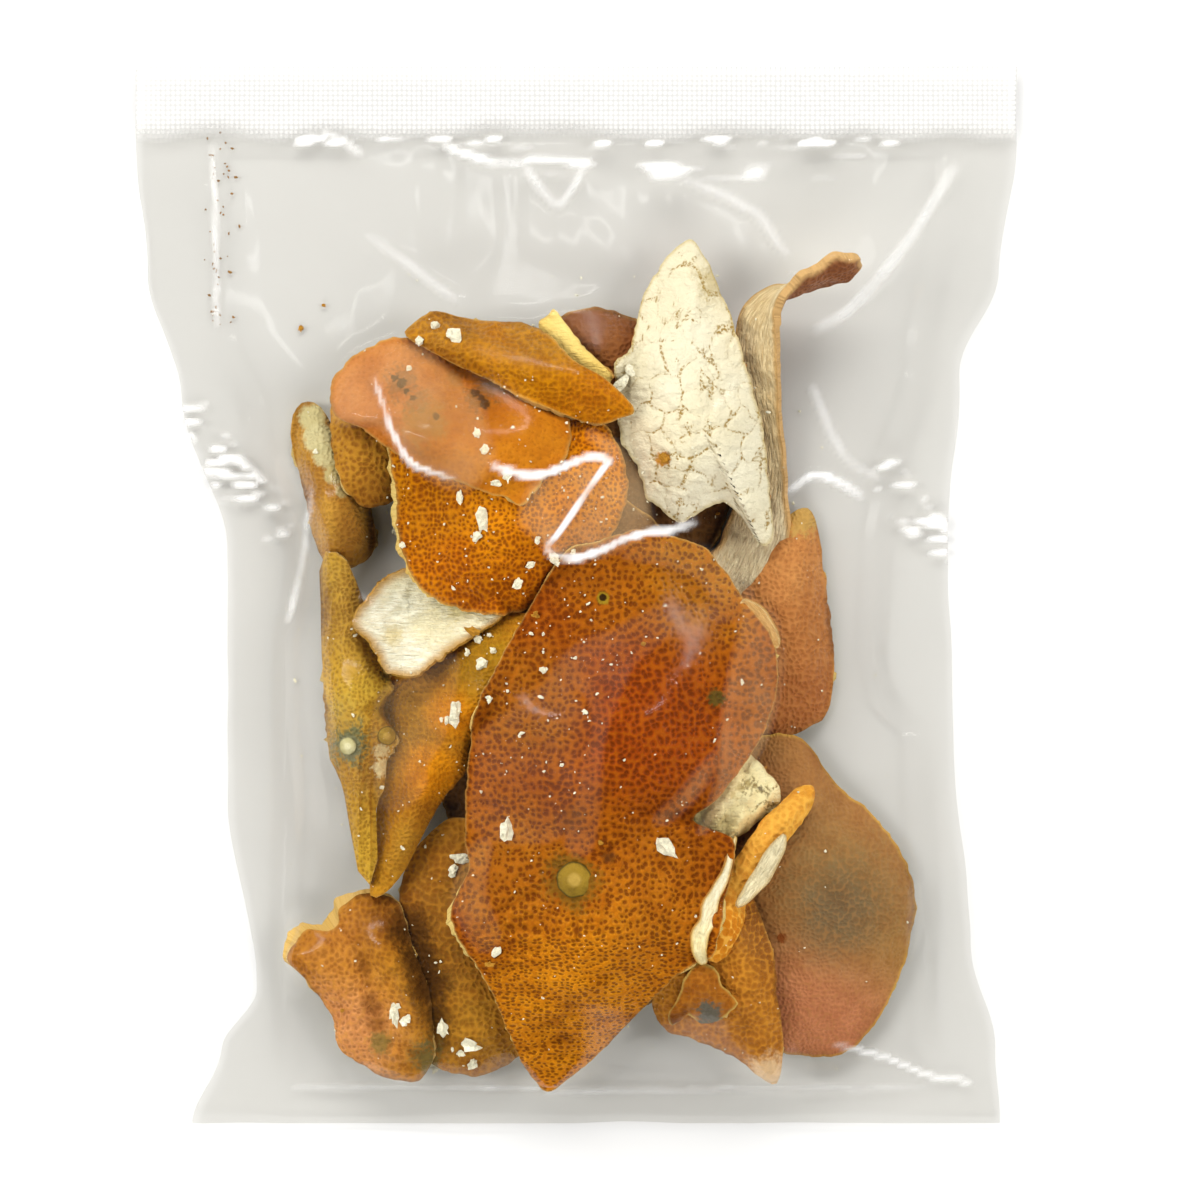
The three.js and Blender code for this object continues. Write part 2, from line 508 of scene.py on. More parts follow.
def makeMottleGroup():
    # how drying has left the colour: broad clouds, small clouds and fine grain
    group, given, out = startGroup("dryMottle", ["Position"], {"Seed": 0.0}, ["Broad", "Small", "Grain"])
    moved = vectorNode(group, "ADD", given["Position"], given["Seed"])[0]
    feed(group, cloudNode(group, moved, 0.34, 0.66, 55, 1, 0.5, 0.3), out["Broad"])
    feed(group, cloudNode(group, moved, 0.32, 0.68, 260, 2, 0.6), out["Small"])
    feed(group, cloudNode(group, moved, 0.28, 0.72, 1600, 1, 0.6), out["Grain"])
    return group


def makePatchGroup():
    # a ragged round patch at a place on the piece
    group, given, out = startGroup("patchMask", ["Position", "Centre"],
                                   {"Grain": 0.5, "Radius": 0.005, "Softness": 0.5, "Ragged": 0.3}, ["Mask"])
    flattened = vectorNode(group, "MULTIPLY", given["Position"], (1, 1, 0))[0]
    apart = vectorNode(group, "DISTANCE", flattened, given["Centre"])["Value"]
    relative = mathNode(group, "DIVIDE", apart, given["Radius"])
    rough = mathNode(group, "MULTIPLY", mathNode(group, "SUBTRACT", given["Grain"], 0.5), given["Ragged"])
    reach = mathNode(group, "ADD", relative, mathNode(group, "MULTIPLY", rough, 1.3))
    start, end = (mathNode(group, way, 1.0, given["Softness"]) for way in ("SUBTRACT", "ADD"))
    feed(group, rangeNode(group, reach, start, end, 1.0, 0.0), out["Mask"])
    return group


oilGlands = makeGlandGroup()
dryMottle = makeMottleGroup()
patchMask = makePatchGroup()


def startMaterial(name):
    material = bpy.data.materials.new(name)
    material.use_nodes = True
    tree = material.node_tree
    tree.nodes.clear()
    output = newNode(tree, "ShaderNodeOutputMaterial").inputs["Surface"]
    return material, tree, output, newNode(tree, "ShaderNodeTexCoord").outputs["Object"]


def paintPatches(tree, position, mottle, colour, patches):
    # patches: x, y, radius, colour, strength, softness, ragged
    if patches:
        grain = mathNode(tree, "MULTIPLY", mathNode(tree, "ADD", mottle["Small"], mottle["Grain"]), 0.5)
    for x, y, radius, tint, strength, softness, ragged in patches:
        mask = placeGroup(tree, patchMask, Position=position, Centre=(x * mm, y * mm, 0), Grain=grain,
                          Radius=radius * mm, Softness=softness, Ragged=ragged)["Mask"]
        colour = stain(tree, colour, mask, strength, tint)
    return colour


def addSurface(tree, output, colour, roughness, specular, normal=None):
    shader = newNode(tree, "ShaderNodeBsdfPrincipled")
    feed(tree, colour, shader.inputs["Base Color"])
    feed(tree, roughness, shader.inputs["Roughness"])
    feed(tree, specular, shader.inputs["Specular IOR Level"])
    if normal is not None:
        feed(tree, normal, shader.inputs["Normal"])
    feed(tree, shader.outputs[0], output)


# what a skin or a pith looks like unless its own entry says otherwise
skinBase = {
    "perCm": 9.4, "dotSize": 0.33, "dots": 0.75, "net": 0.28, "bump": 0.75,
    "edgeTan": 0.7, "edgeColour": (0.62, 0.36, 0.09), "hollowShade": (0.42, 0.34, 0.30),
    "patches": [], "marks": [],  # x, y, radius, colour, strength, softness, ragged
}
pithBase = {
    "grainTurn": 0.6, "fibre": 0.2, "flecks": 0.3, "cracks": 0.6, "bump": 0.9,
    "edgeTan": 0.6, "edgeColour": (0.58, 0.36, 0.10), "patches": [],
}


def makeSkin(name, look):
    look = {**skinBase, **look}
    material, tree, output, position = startMaterial(name + "Skin")
    flat = newNode(tree, "ShaderNodeUVMap", uv_map="peel").outputs["UV"]
    mottle = placeGroup(tree, dryMottle, Position=position, Seed=look["seed"] * 0.37)
    glands = placeGroup(tree, oilGlands, Coordinates=flat, PerCm=look["perCm"], DotSize=look["dotSize"])
    colour = mixColour(tree, mottle["Broad"], look["light"], look["deep"])
    colour = paintPatches(tree, position, mottle, colour, look["patches"])
    colour = stain(tree, colour, mottle["Small"], 0.24, look["deep"], "MULTIPLY")
    colour = stain(tree, colour, glands["Net"], look["net"], look["light"])
    colour = stain(tree, colour, glands["Dot"], look["dots"], look["dot"])
    colour = stain(tree, colour, mottle["Grain"], 0.22, look["dot"])
    colour = stain(tree, colour, markNode(tree, "edge"), look["edgeTan"], look["edgeColour"])
    # painted shade: the skin is darkened in its dips and wrinkles
    colour = stain(tree, colour, markNode(tree, "shadeInHollows"), 0.8, look["hollowShade"], "MULTIPLY")
    colour = paintPatches(tree, position, mottle, colour, look["marks"])
    height = mathNode(tree, "ADD", glands["Relief"], mathNode(tree, "MULTIPLY", mottle["Grain"], 0.25))
    addSurface(tree, output, colour, rangeNode(tree, mottle["Small"], 0, 1, 0.4, 0.58), 0.14,
               bumpNode(tree, height, look["bump"], 0.00028))
    return material


def makePith(name, look):
    look = {**pithBase, **look}
    material, tree, output, position = startMaterial(name)
    flat = newNode(tree, "ShaderNodeUVMap", uv_map="peel").outputs["UV"]
    mottle = placeGroup(tree, dryMottle, Position=position, Seed=look["seed"] * 0.53)
    colour = mixColour(tree, mottle["Broad"], look["light"], look["deep"])
    drawnOut = feedAll(tree, newNode(tree, "ShaderNodeMapping"), Vector=flat,
                       Rotation=(0, 0, look["grainTurn"]), Scale=(4, 26, 1))[0]
    fibre = cloudNode(tree, drawnOut, 0.36, 0.68, 1.0, 2, 0.6)
    colour = stain(tree, colour, fibre, look["fibre"], look["stain"], "MULTIPLY")
    flecks = mathNode(tree, "MULTIPLY", cloudNode(tree, flat, 0.66, 0.74, 15, 2, 0.7), look["flecks"])
    dotted = rangeNode(tree, noiseNode(tree, flat, 20, 1, 0.6), 0.4, 0.6, 0.1, 1.0)
    line = mathNode(tree, "MULTIPLY", rangeNode(tree, markNode(tree, "crack"), 0.66, 0.9), dotted)
    cracked = mathNode(tree, "MAXIMUM", mathNode(tree, "MULTIPLY", line, look["cracks"]), flecks)
    colour = mixColour(tree, cracked, colour, look["crack"])
    colour = paintPatches(tree, position, mottle, colour, look["patches"])
    colour = stain(tree, colour, markNode(tree, "edge"), look["edgeTan"], look["edgeColour"])
    relief = mathNode(tree, "MULTIPLY", fibre, 0.6 * look["fibre"])
    height = mathNode(tree, "ADD", noiseNode(tree, flat, 6, 3), relief)
    addSurface(tree, output, colour, 0.85, 0.25, bumpNode(tree, height, look["bump"], 0.001))
    return material


# ---- finishes

skinLooks = {
    "hero": {
        "seed": 1, "light": (0.45, 0.118, 0.003), "deep": (0.32, 0.066, 0.002),
        "dot": (0.14, 0.024, 0.001), "dotSize": 0.34, "net": 0.42, "bump": 1.0, "perCm": 9.0,
        "patches": [
            (2, -72, 18, (0.9, 0.34, 0.008), 0.9, 0.6, 0.2),
            (21, 4, 11, (0.56, 0.23, 0.008), 0.75, 0.6, 0.25),
            (6, 1, 8, (0.5, 0.16, 0.006), 0.7, 0.6, 0.25),
            (13, -22, 13, (0.4, 0.062, 0.002), 0.85, 0.5, 0.2),
            (14, -52, 11, (0.66, 0.23, 0.01), 0.7, 0.6, 0.2),
            (-12, -46, 10, (0.56, 0.2, 0.01), 0.7, 0.6, 0.2),
            (-8, -18, 9, (0.42, 0.16, 0.01), 0.6, 0.6, 0.2),
        ],
        "marks": [
            (-0.4, -48.3, 4.4, (0.2, 0.105, 0.01), 0.75, 0.3, 0.5),
            (23.6, -17.6, 1.4, (0.09, 0.075, 0.012), 0.85, 0.35, 0.8),
            (5.6, -44.2, 1.2, (0.09, 0.03, 0.006), 0.7, 0.5, 0.7),
            (4.6, -0.6, 1.05, (0.36, 0.24, 0.015), 0.85, 0.2, 0.3),
            (4.6, -0.45, 0.6, (0.02, 0.006, 0.002), 0.95, 0.2, 0.3),
            (0.2, -56.5, 0.6, (0.12, 0.02, 0.003), 0.6, 0.6, 0.5),
            (-1, -38, 2.2, (0.15, 0.06, 0.01), 0.35, 0.6, 0.8),
        ],
    },
    "domed": {
        "seed": 2, "perCm": 12, "net": 0.36, "light": (0.84, 0.3, 0.003), "deep": (0.57, 0.155, 0.002),
        "dot": (0.22, 0.048, 0.001),
        "patches": [
            (-12, -2, 9, (0.38, 0.09, 0.002), 0.7, 0.6, 0.2),
            (-26, 18, 9, (0.46, 0.17, 0.004), 0.6, 0.6, 0.2),
            (-20, 24, 5, (0.4, 0.08, 0.003), 0.6, 0.6, 0.2),
            (-4, 8, 9, (0.6, 0.16, 0.003), 0.6, 0.6, 0.2),
        ],
    },
    "smooth": {
        "seed": 3, "light": (0.62, 0.215, 0.01), "deep": (0.5, 0.15, 0.006), "dot": (0.3, 0.08, 0.004),
        "dots": 0.35, "dotSize": 0.2, "bump": 0.45, "perCm": 9, "net": 0.1,
        "patches": [
            (-34, 35, 9, (0.56, 0.19, 0.045), 0.8, 0.6, 0.3),
            (-20, 33, 7, (0.44, 0.14, 0.006), 0.6, 0.6, 0.4),
        ],
        "marks": [
            (-29.8, 35.7, 2.4, (0.15, 0.075, 0.025), 0.55, 0.4, 1.2),
            (-27.3, 33.0, 1.9, (0.2, 0.095, 0.025), 0.5, 0.4, 1.2),
            (-16.3, 33.2, 2.5, (0.15, 0.06, 0.008), 0.6, 0.4, 1.2),
            (-25.5, 28.6, 3.2, (0.28, 0.15, 0.03), 0.55, 0.6, 1.0),
            (-13.5, 35.0, 2.2, (0.2, 0.08, 0.008), 0.5, 0.5, 1.0),
            (-20.5, 36.8, 1.3, (0.25, 0.11, 0.02), 0.5, 0.5, 1.0),
            (-30.9, 36.9, 0.7, (0.06, 0.03, 0.01), 0.9, 0.2, 0.8),
            (-29.6, 35.9, 0.8, (0.07, 0.035, 0.01), 0.9, 0.2, 0.8),
            (-28.8, 34.6, 0.6, (0.06, 0.03, 0.01), 0.9, 0.2, 0.8),
            (-27.6, 33.4, 0.6, (0.09, 0.04, 0.01), 0.8, 0.2, 0.8),
            (-17.0, 34.3, 0.7, (0.08, 0.03, 0.005), 0.9, 0.2, 0.8),
            (-16.0, 33.4, 0.6, (0.08, 0.03, 0.005), 0.9, 0.2, 0.8),
            (-15.4, 32.2, 0.8, (0.08, 0.03, 0.005), 0.9, 0.2, 0.8),
            (-23.6, 30.2, 0.5, (0.1, 0.045, 0.01), 0.8, 0.2, 0.8),
        ],
    },
    "ridge": {
        "seed": 4, "light": (0.78, 0.33, 0.004), "deep": (0.48, 0.17, 0.003), "dot": (0.25, 0.08, 0.003),
        "dots": 0.4, "dotSize": 0.26, "perCm": 11,
        "patches": [
            (-23, 45, 8, (0.42, 0.2, 0.03), 0.7, 0.6, 0.3),
            (5, 33, 6, (0.62, 0.19, 0.006), 0.7, 0.6, 0.3), (-7, 44, 5, (0.4, 0.21, 0.03), 0.5, 0.6, 0.4),
        ],
    },
    "darkRed": {
        "seed": 5, "light": (0.32, 0.12, 0.032), "deep": (0.24, 0.08, 0.022), "dot": (0.13, 0.038, 0.012),
        "dots": 0.3, "dotSize": 0.22, "perCm": 10,
    },
    "curled": {
        "seed": 6, "light": (0.44, 0.19, 0.075), "deep": (0.3, 0.105, 0.04), "dot": (0.17, 0.055, 0.02),
        "dots": 0.4, "edgeColour": (0.68, 0.42, 0.17), "edgeTan": 0.95, "perCm": 12,
    },
    "rightPeel": {
        "seed": 7, "light": (0.66, 0.29, 0.085), "deep": (0.52, 0.205, 0.055), "dot": (0.34, 0.11, 0.03),
        "dots": 0.35, "edgeTan": 0.3, "perCm": 11, "dotSize": 0.28,
        "marks": [(38.5, 13.6, 3.2, (0.58, 0.38, 0.1), 0.7, 0.4, 0.8)],
        "patches": [(37, -20, 9, (0.42, 0.13, 0.035), 0.7, 0.6, 0.3)],
    },
    "roundPeel": {
        "seed": 8, "light": (0.48, 0.225, 0.065), "deep": (0.38, 0.165, 0.05), "dot": (0.25, 0.095, 0.03),
        "dots": 0.14, "dotSize": 0.28, "bump": 0.5, "edgeColour": (0.72, 0.42, 0.08), "edgeTan": 0.85,
        "perCm": 12,
        "patches": [
            (30, -40, 12, (0.34, 0.16, 0.06), 0.7, 0.6, 0.25),
            (53, -41, 8, (0.56, 0.21, 0.06), 0.7, 0.6, 0.3),
            (54, -64, 8, (0.5, 0.26, 0.06), 0.7, 0.7, 0.3),
            (40, -74, 14, (0.66, 0.24, 0.11), 0.85, 0.6, 0.2),
            (46, -50, 12, (0.3, 0.19, 0.065), 0.9, 0.9, 0.25),
            (44.5, -53.5, 6.5, (0.12, 0.095, 0.055), 0.75, 0.9, 0.35),
        ],
        "marks": [(35.1, -58.4, 0.8, (0.2, 0.045, 0.006), 0.9, 0.4, 0.8)],
    },
    "tipPeel": {
        "seed": 9, "light": (0.68, 0.285, 0.028), "deep": (0.42, 0.145, 0.016),
        "dot": (0.26, 0.078, 0.007), "dots": 0.4, "perCm": 10.5, "net": 0.6, "edgeTan": 0.3,
        "marks": [(33.0, -82.0, 3.4, (0.85, 0.6, 0.34), 0.8, 0.5, 0.5)],
        "patches": [
            (26, -74, 6, (0.52, 0.19, 0.025), 0.7, 0.5, 0.3),
            (32, -56, 6, (0.26, 0.11, 0.03), 0.6, 0.5, 0.3),
        ],
    },
    "leftRoll": {
        "seed": 10, "light": (0.62, 0.32, 0.045), "deep": (0.42, 0.19, 0.028), "dot": (0.26, 0.1, 0.014),
        "dots": 0.2, "dotSize": 0.26, "perCm": 12, "edgeTan": 0.6,
        "marks": [
            (-45.2, 30.2, 2.4, (0.58, 0.5, 0.24), 0.95, 0.25, 0.3),
            (-43.9, 27.0, 2.6, (0.66, 0.58, 0.3), 0.95, 0.25, 0.3),
            (-42.7, 23.8, 2.2, (0.62, 0.54, 0.27), 0.95, 0.25, 0.3),
            (-41.3, 20.6, 1.7, (0.56, 0.46, 0.2), 0.95, 0.25, 0.3),
            (-39.9, 17.6, 1.1, (0.52, 0.42, 0.18), 0.9, 0.25, 0.3),
        ],
    },
    "leftDotted": {
        "seed": 11, "light": (0.58, 0.28, 0.028), "deep": (0.44, 0.18, 0.018), "dot": (0.22, 0.07, 0.008),
        "dots": 0.6, "perCm": 9.6, "edgeTan": 0.2,
    },
    "leftFlap": {
        "seed": 12, "light": (0.72, 0.43, 0.044), "deep": (0.56, 0.29, 0.032), "dot": (0.26, 0.12, 0.012),
        "dots": 0.5, "perCm": 12.5, "dotSize": 0.28, "edgeTan": 0.5,
        "patches": [
            (-40, -2, 9, (0.43, 0.24, 0.05), 0.7, 0.6, 0.3),
            (-35.5, -15, 5, (0.66, 0.43, 0.05), 0.7, 0.6, 0.4),
            (-38.5, -36, 5, (0.62, 0.35, 0.04), 0.6, 0.6, 0.4),
            (-36, -30, 4, (0.44, 0.23, 0.06), 0.6, 0.6, 0.4),
        ],
        "marks": [
            (-32.4, -13.5, 1.3, (0.06, 0.045, 0.015), 0.8, 0.3, 1.0),
            (-33.1, -29.5, 1.5, (0.8, 0.66, 0.34), 0.9, 0.3, 0.9),
            (-33.4, -26.6, 1.2, (0.74, 0.6, 0.3), 0.9, 0.3, 0.9),
            (-39.4, -22.5, 4.2, (0.3, 0.23, 0.08), 0.35, 0.7, 0.8),
            (-38.4, -25.2, 3.0, (0.12, 0.14, 0.07), 0.85, 0.5, 1.1),
            (-38.7, -26.0, 2.1, (0.24, 0.23, 0.13), 0.8, 0.3, 0.4),
        ],
    },
    "leftFold": {
        "seed": 13, "light": (0.62, 0.28, 0.016), "deep": (0.42, 0.16, 0.01), "dot": (0.26, 0.085, 0.006),
        "dots": 0.2, "dotSize": 0.26, "perCm": 12, "edgeTan": 0.2,
        "patches": [
            (-29, -22, 8, (0.34, 0.17, 0.024), 0.85, 0.4, 0.3),
            (-20.5, -20, 4.5, (0.8, 0.28, 0.004), 0.9, 0.5, 0.25),
            (-24.5, -30, 4.5, (0.8, 0.28, 0.004), 0.9, 0.5, 0.25),
            (-15, -12, 6, (0.4, 0.22, 0.008), 0.8, 0.6, 0.3),
            (-24, -10, 7, (0.24, 0.11, 0.008), 0.6, 0.6, 0.3),
            (-29, -44, 6, (0.52, 0.27, 0.03), 0.7, 0.6, 0.3),
        ],
    },
    "corner": {
        "seed": 14, "light": (0.66, 0.285, 0.024), "deep": (0.42, 0.15, 0.012), "dot": (0.2, 0.06, 0.006),
        "dots": 0.42, "dotSize": 0.3, "edgeTan": 0.3,
        "patches": [
            (-17, -53, 13, (0.25, 0.105, 0.013), 0.9, 0.6, 0.25),
            (-41, -76, 10, (0.84, 0.36, 0.13), 0.85, 0.6, 0.2),
            (-42, -60, 7, (0.58, 0.23, 0.045), 0.6, 0.6, 0.3),
            (-16, -75, 8, (0.44, 0.21, 0.02), 0.8, 0.6, 0.3),
            (-31, -55, 5, (0.24, 0.085, 0.012), 0.6, 0.5, 0.5),
            (-24, -64, 5, (0.2, 0.085, 0.012), 0.6, 0.6, 0.5),
        ],
        "marks": [
            # painted shade: a dark band down the valley beside the ridge
            (-28.0, -57.0, 3.6, (0.07, 0.026, 0.005), 0.9, 0.6, 0.4),
            (-26.4, -62.0, 3.4, (0.07, 0.026, 0.005), 0.9, 0.6, 0.4),
            (-25.0, -67.0, 3.2, (0.07, 0.026, 0.005), 0.9, 0.6, 0.4),
            (-23.8, -72.0, 2.8, (0.08, 0.032, 0.006), 0.85, 0.6, 0.4),
            (-23.4, -76.5, 2.2, (0.09, 0.036, 0.006), 0.75, 0.6, 0.4),
            (-35.2, -69.5, 1.4, (0.24, 0.085, 0.016), 0.6, 0.6, 0.6),
            (-34.4, -73.5, 1.3, (0.24, 0.085, 0.016), 0.6, 0.6, 0.6),
            (-33.5, -76.5, 1.8, (0.14, 0.13, 0.03), 0.7, 0.5, 0.8),
            (-25.5, -79.3, 2.6, (0.12, 0.12, 0.04), 0.75, 0.5, 0.8),
        ],
    },
    "scarred": {
        "seed": 15, "light": (0.56, 0.23, 0.022), "deep": (0.44, 0.15, 0.014), "dot": (0.24, 0.07, 0.006),
        "dots": 0.35, "edgeTan": 0.9, "edgeColour": (0.72, 0.5, 0.12),
        "marks": [(22.6, -71.0, 2.0, (0.1, 0.11, 0.085), 0.9, 0.35, 1.0)],
    },
    "rolled": {
        "seed": 16, "light": (0.95, 0.5, 0.075), "deep": (0.72, 0.27, 0.016), "dot": (0.6, 0.19, 0.01),
        "dots": 0.3, "perCm": 7.5, "net": 0.85, "edgeTan": 0.3,
    },
    "hidden": {
        "seed": 17, "light": (0.24, 0.11, 0.03), "deep": (0.16, 0.07, 0.02), "dot": (0.09, 0.03, 0.008),
        "dots": 0.4,
    },
}
pithLooks = {
    "rimPith": {
        "seed": 20, "light": (0.72, 0.56, 0.22), "deep": (0.62, 0.42, 0.12), "stain": (0.7, 0.5, 0.25),
        "crack": (0.3, 0.18, 0.05), "edgeTan": 0.35,
    },
    "crackedPith": {
        "seed": 21, "light": (0.9, 0.84, 0.64), "deep": (0.86, 0.78, 0.55), "stain": (0.8, 0.7, 0.45),
        "crack": (0.36, 0.22, 0.04), "cracks": 0.95, "fibre": 0.05, "flecks": 0.25, "edgeTan": 0.6,
        "edgeColour": (0.55, 0.4, 0.12),
        "patches": [
            (14.9, 23.1, 1.0, (0.6, 0.25, 0.02), 0.9, 0.4, 0.8),
            (24, 54, 3.0, (0.5, 0.36, 0.1), 0.5, 0.6, 0.9),
            (10, 38, 4.0, (0.6, 0.52, 0.32), 0.4, 0.6, 0.6),
        ],
    },
    "bowlPith": {
        "seed": 22, "light": (1.0, 0.98, 0.8), "deep": (0.98, 0.92, 0.66), "stain": (0.72, 0.58, 0.34),
        "bump": 1.0, "crack": (0.45, 0.3, 0.08), "fibre": 0.35, "cracks": 0.1, "grainTurn": 1.1,
        "edgeTan": 0.95, "edgeColour": (0.58, 0.34, 0.1),
        "patches": [
            (-31, -7, 1.6, (0.66, 0.48, 0.1), 0.5, 0.6, 0.7),
            (-24, -6, 4.0, (0.9, 0.78, 0.42), 0.5, 0.6, 0.6),
            (-20, -1, 3.0, (0.6, 0.48, 0.12), 0.5, 0.6, 0.7),
        ],
    },
    "yellowPith": {
        "seed": 23, "light": (1.0, 0.82, 0.3), "deep": (0.92, 0.66, 0.18), "stain": (0.75, 0.55, 0.25),
        "crack": (0.36, 0.22, 0.04), "cracks": 0.35, "edgeTan": 0.5,
    },
    "greyPith": {
        "seed": 24, "light": (1.0, 0.9, 0.54), "deep": (0.9, 0.74, 0.34), "stain": (0.6, 0.48, 0.28),
        "crack": (0.24, 0.16, 0.05), "fibre": 0.15, "cracks": 0.8, "flecks": 0.5, "edgeTan": 0.4,
        "bump": 1.0,
        "patches": [
            (31.4, -33.0, 0.6, (0.1, 0.07, 0.04), 0.8, 0.5, 1.0),
            (30.4, -32.4, 0.5, (0.3, 0.2, 0.06), 0.7, 0.6, 1.0),
            (29.2, -32.0, 0.5, (0.4, 0.28, 0.08), 0.7, 0.6, 1.0),
            (27.9, -32.6, 0.6, (0.4, 0.28, 0.08), 0.6, 0.6, 1.0),
            (26.6, -34.0, 0.8, (0.46, 0.33, 0.1), 0.6, 0.6, 1.0),
            (23.4, -38.4, 0.9, (0.34, 0.26, 0.1), 0.6, 0.5, 0.9),
        ],
    },
    "stripPith": {
        "seed": 25, "light": (1.0, 0.86, 0.56), "deep": (0.9, 0.7, 0.38), "stain": (0.62, 0.5, 0.36),
        "crack": (0.2, 0.13, 0.07), "fibre": 0.6, "cracks": 0.2, "edgeTan": 0.95,
        "edgeColour": (0.66, 0.38, 0.13),
    },
    "liningPith": {
        "seed": 27, "light": (1.0, 0.94, 0.7), "deep": (0.9, 0.8, 0.52), "stain": (0.55, 0.48, 0.35),
        "crack": (0.22, 0.17, 0.08), "fibre": 0.4, "flecks": 0.5, "edgeTan": 0.6,
    },
    "rimBitPith": {
        "seed": 28, "light": (0.8, 0.52, 0.2), "deep": (0.66, 0.36, 0.1), "stain": (0.6, 0.45, 0.25),
        "crack": (0.4, 0.22, 0.05), "fibre": 0.3, "edgeTan": 0.5, "edgeColour": (0.9, 0.76, 0.4),
    },
    "lobePith": {
        "seed": 26, "light": (1.0, 0.96, 0.74), "deep": (0.98, 0.86, 0.48), "stain": (0.75, 0.55, 0.25),
        "crack": (0.32, 0.17, 0.03), "cracks": 0.6, "fibre": 0.3, "edgeTan": 0.8,
        "edgeColour": (0.62, 0.34, 0.04),
    },
}
finishes = {name: makeSkin(name, look) for name, look in skinLooks.items()}
finishes.update({name: makePith(name, look) for name, look in pithLooks.items()})
print("finishes ready")


# ---- the heap, from the lowest piece up

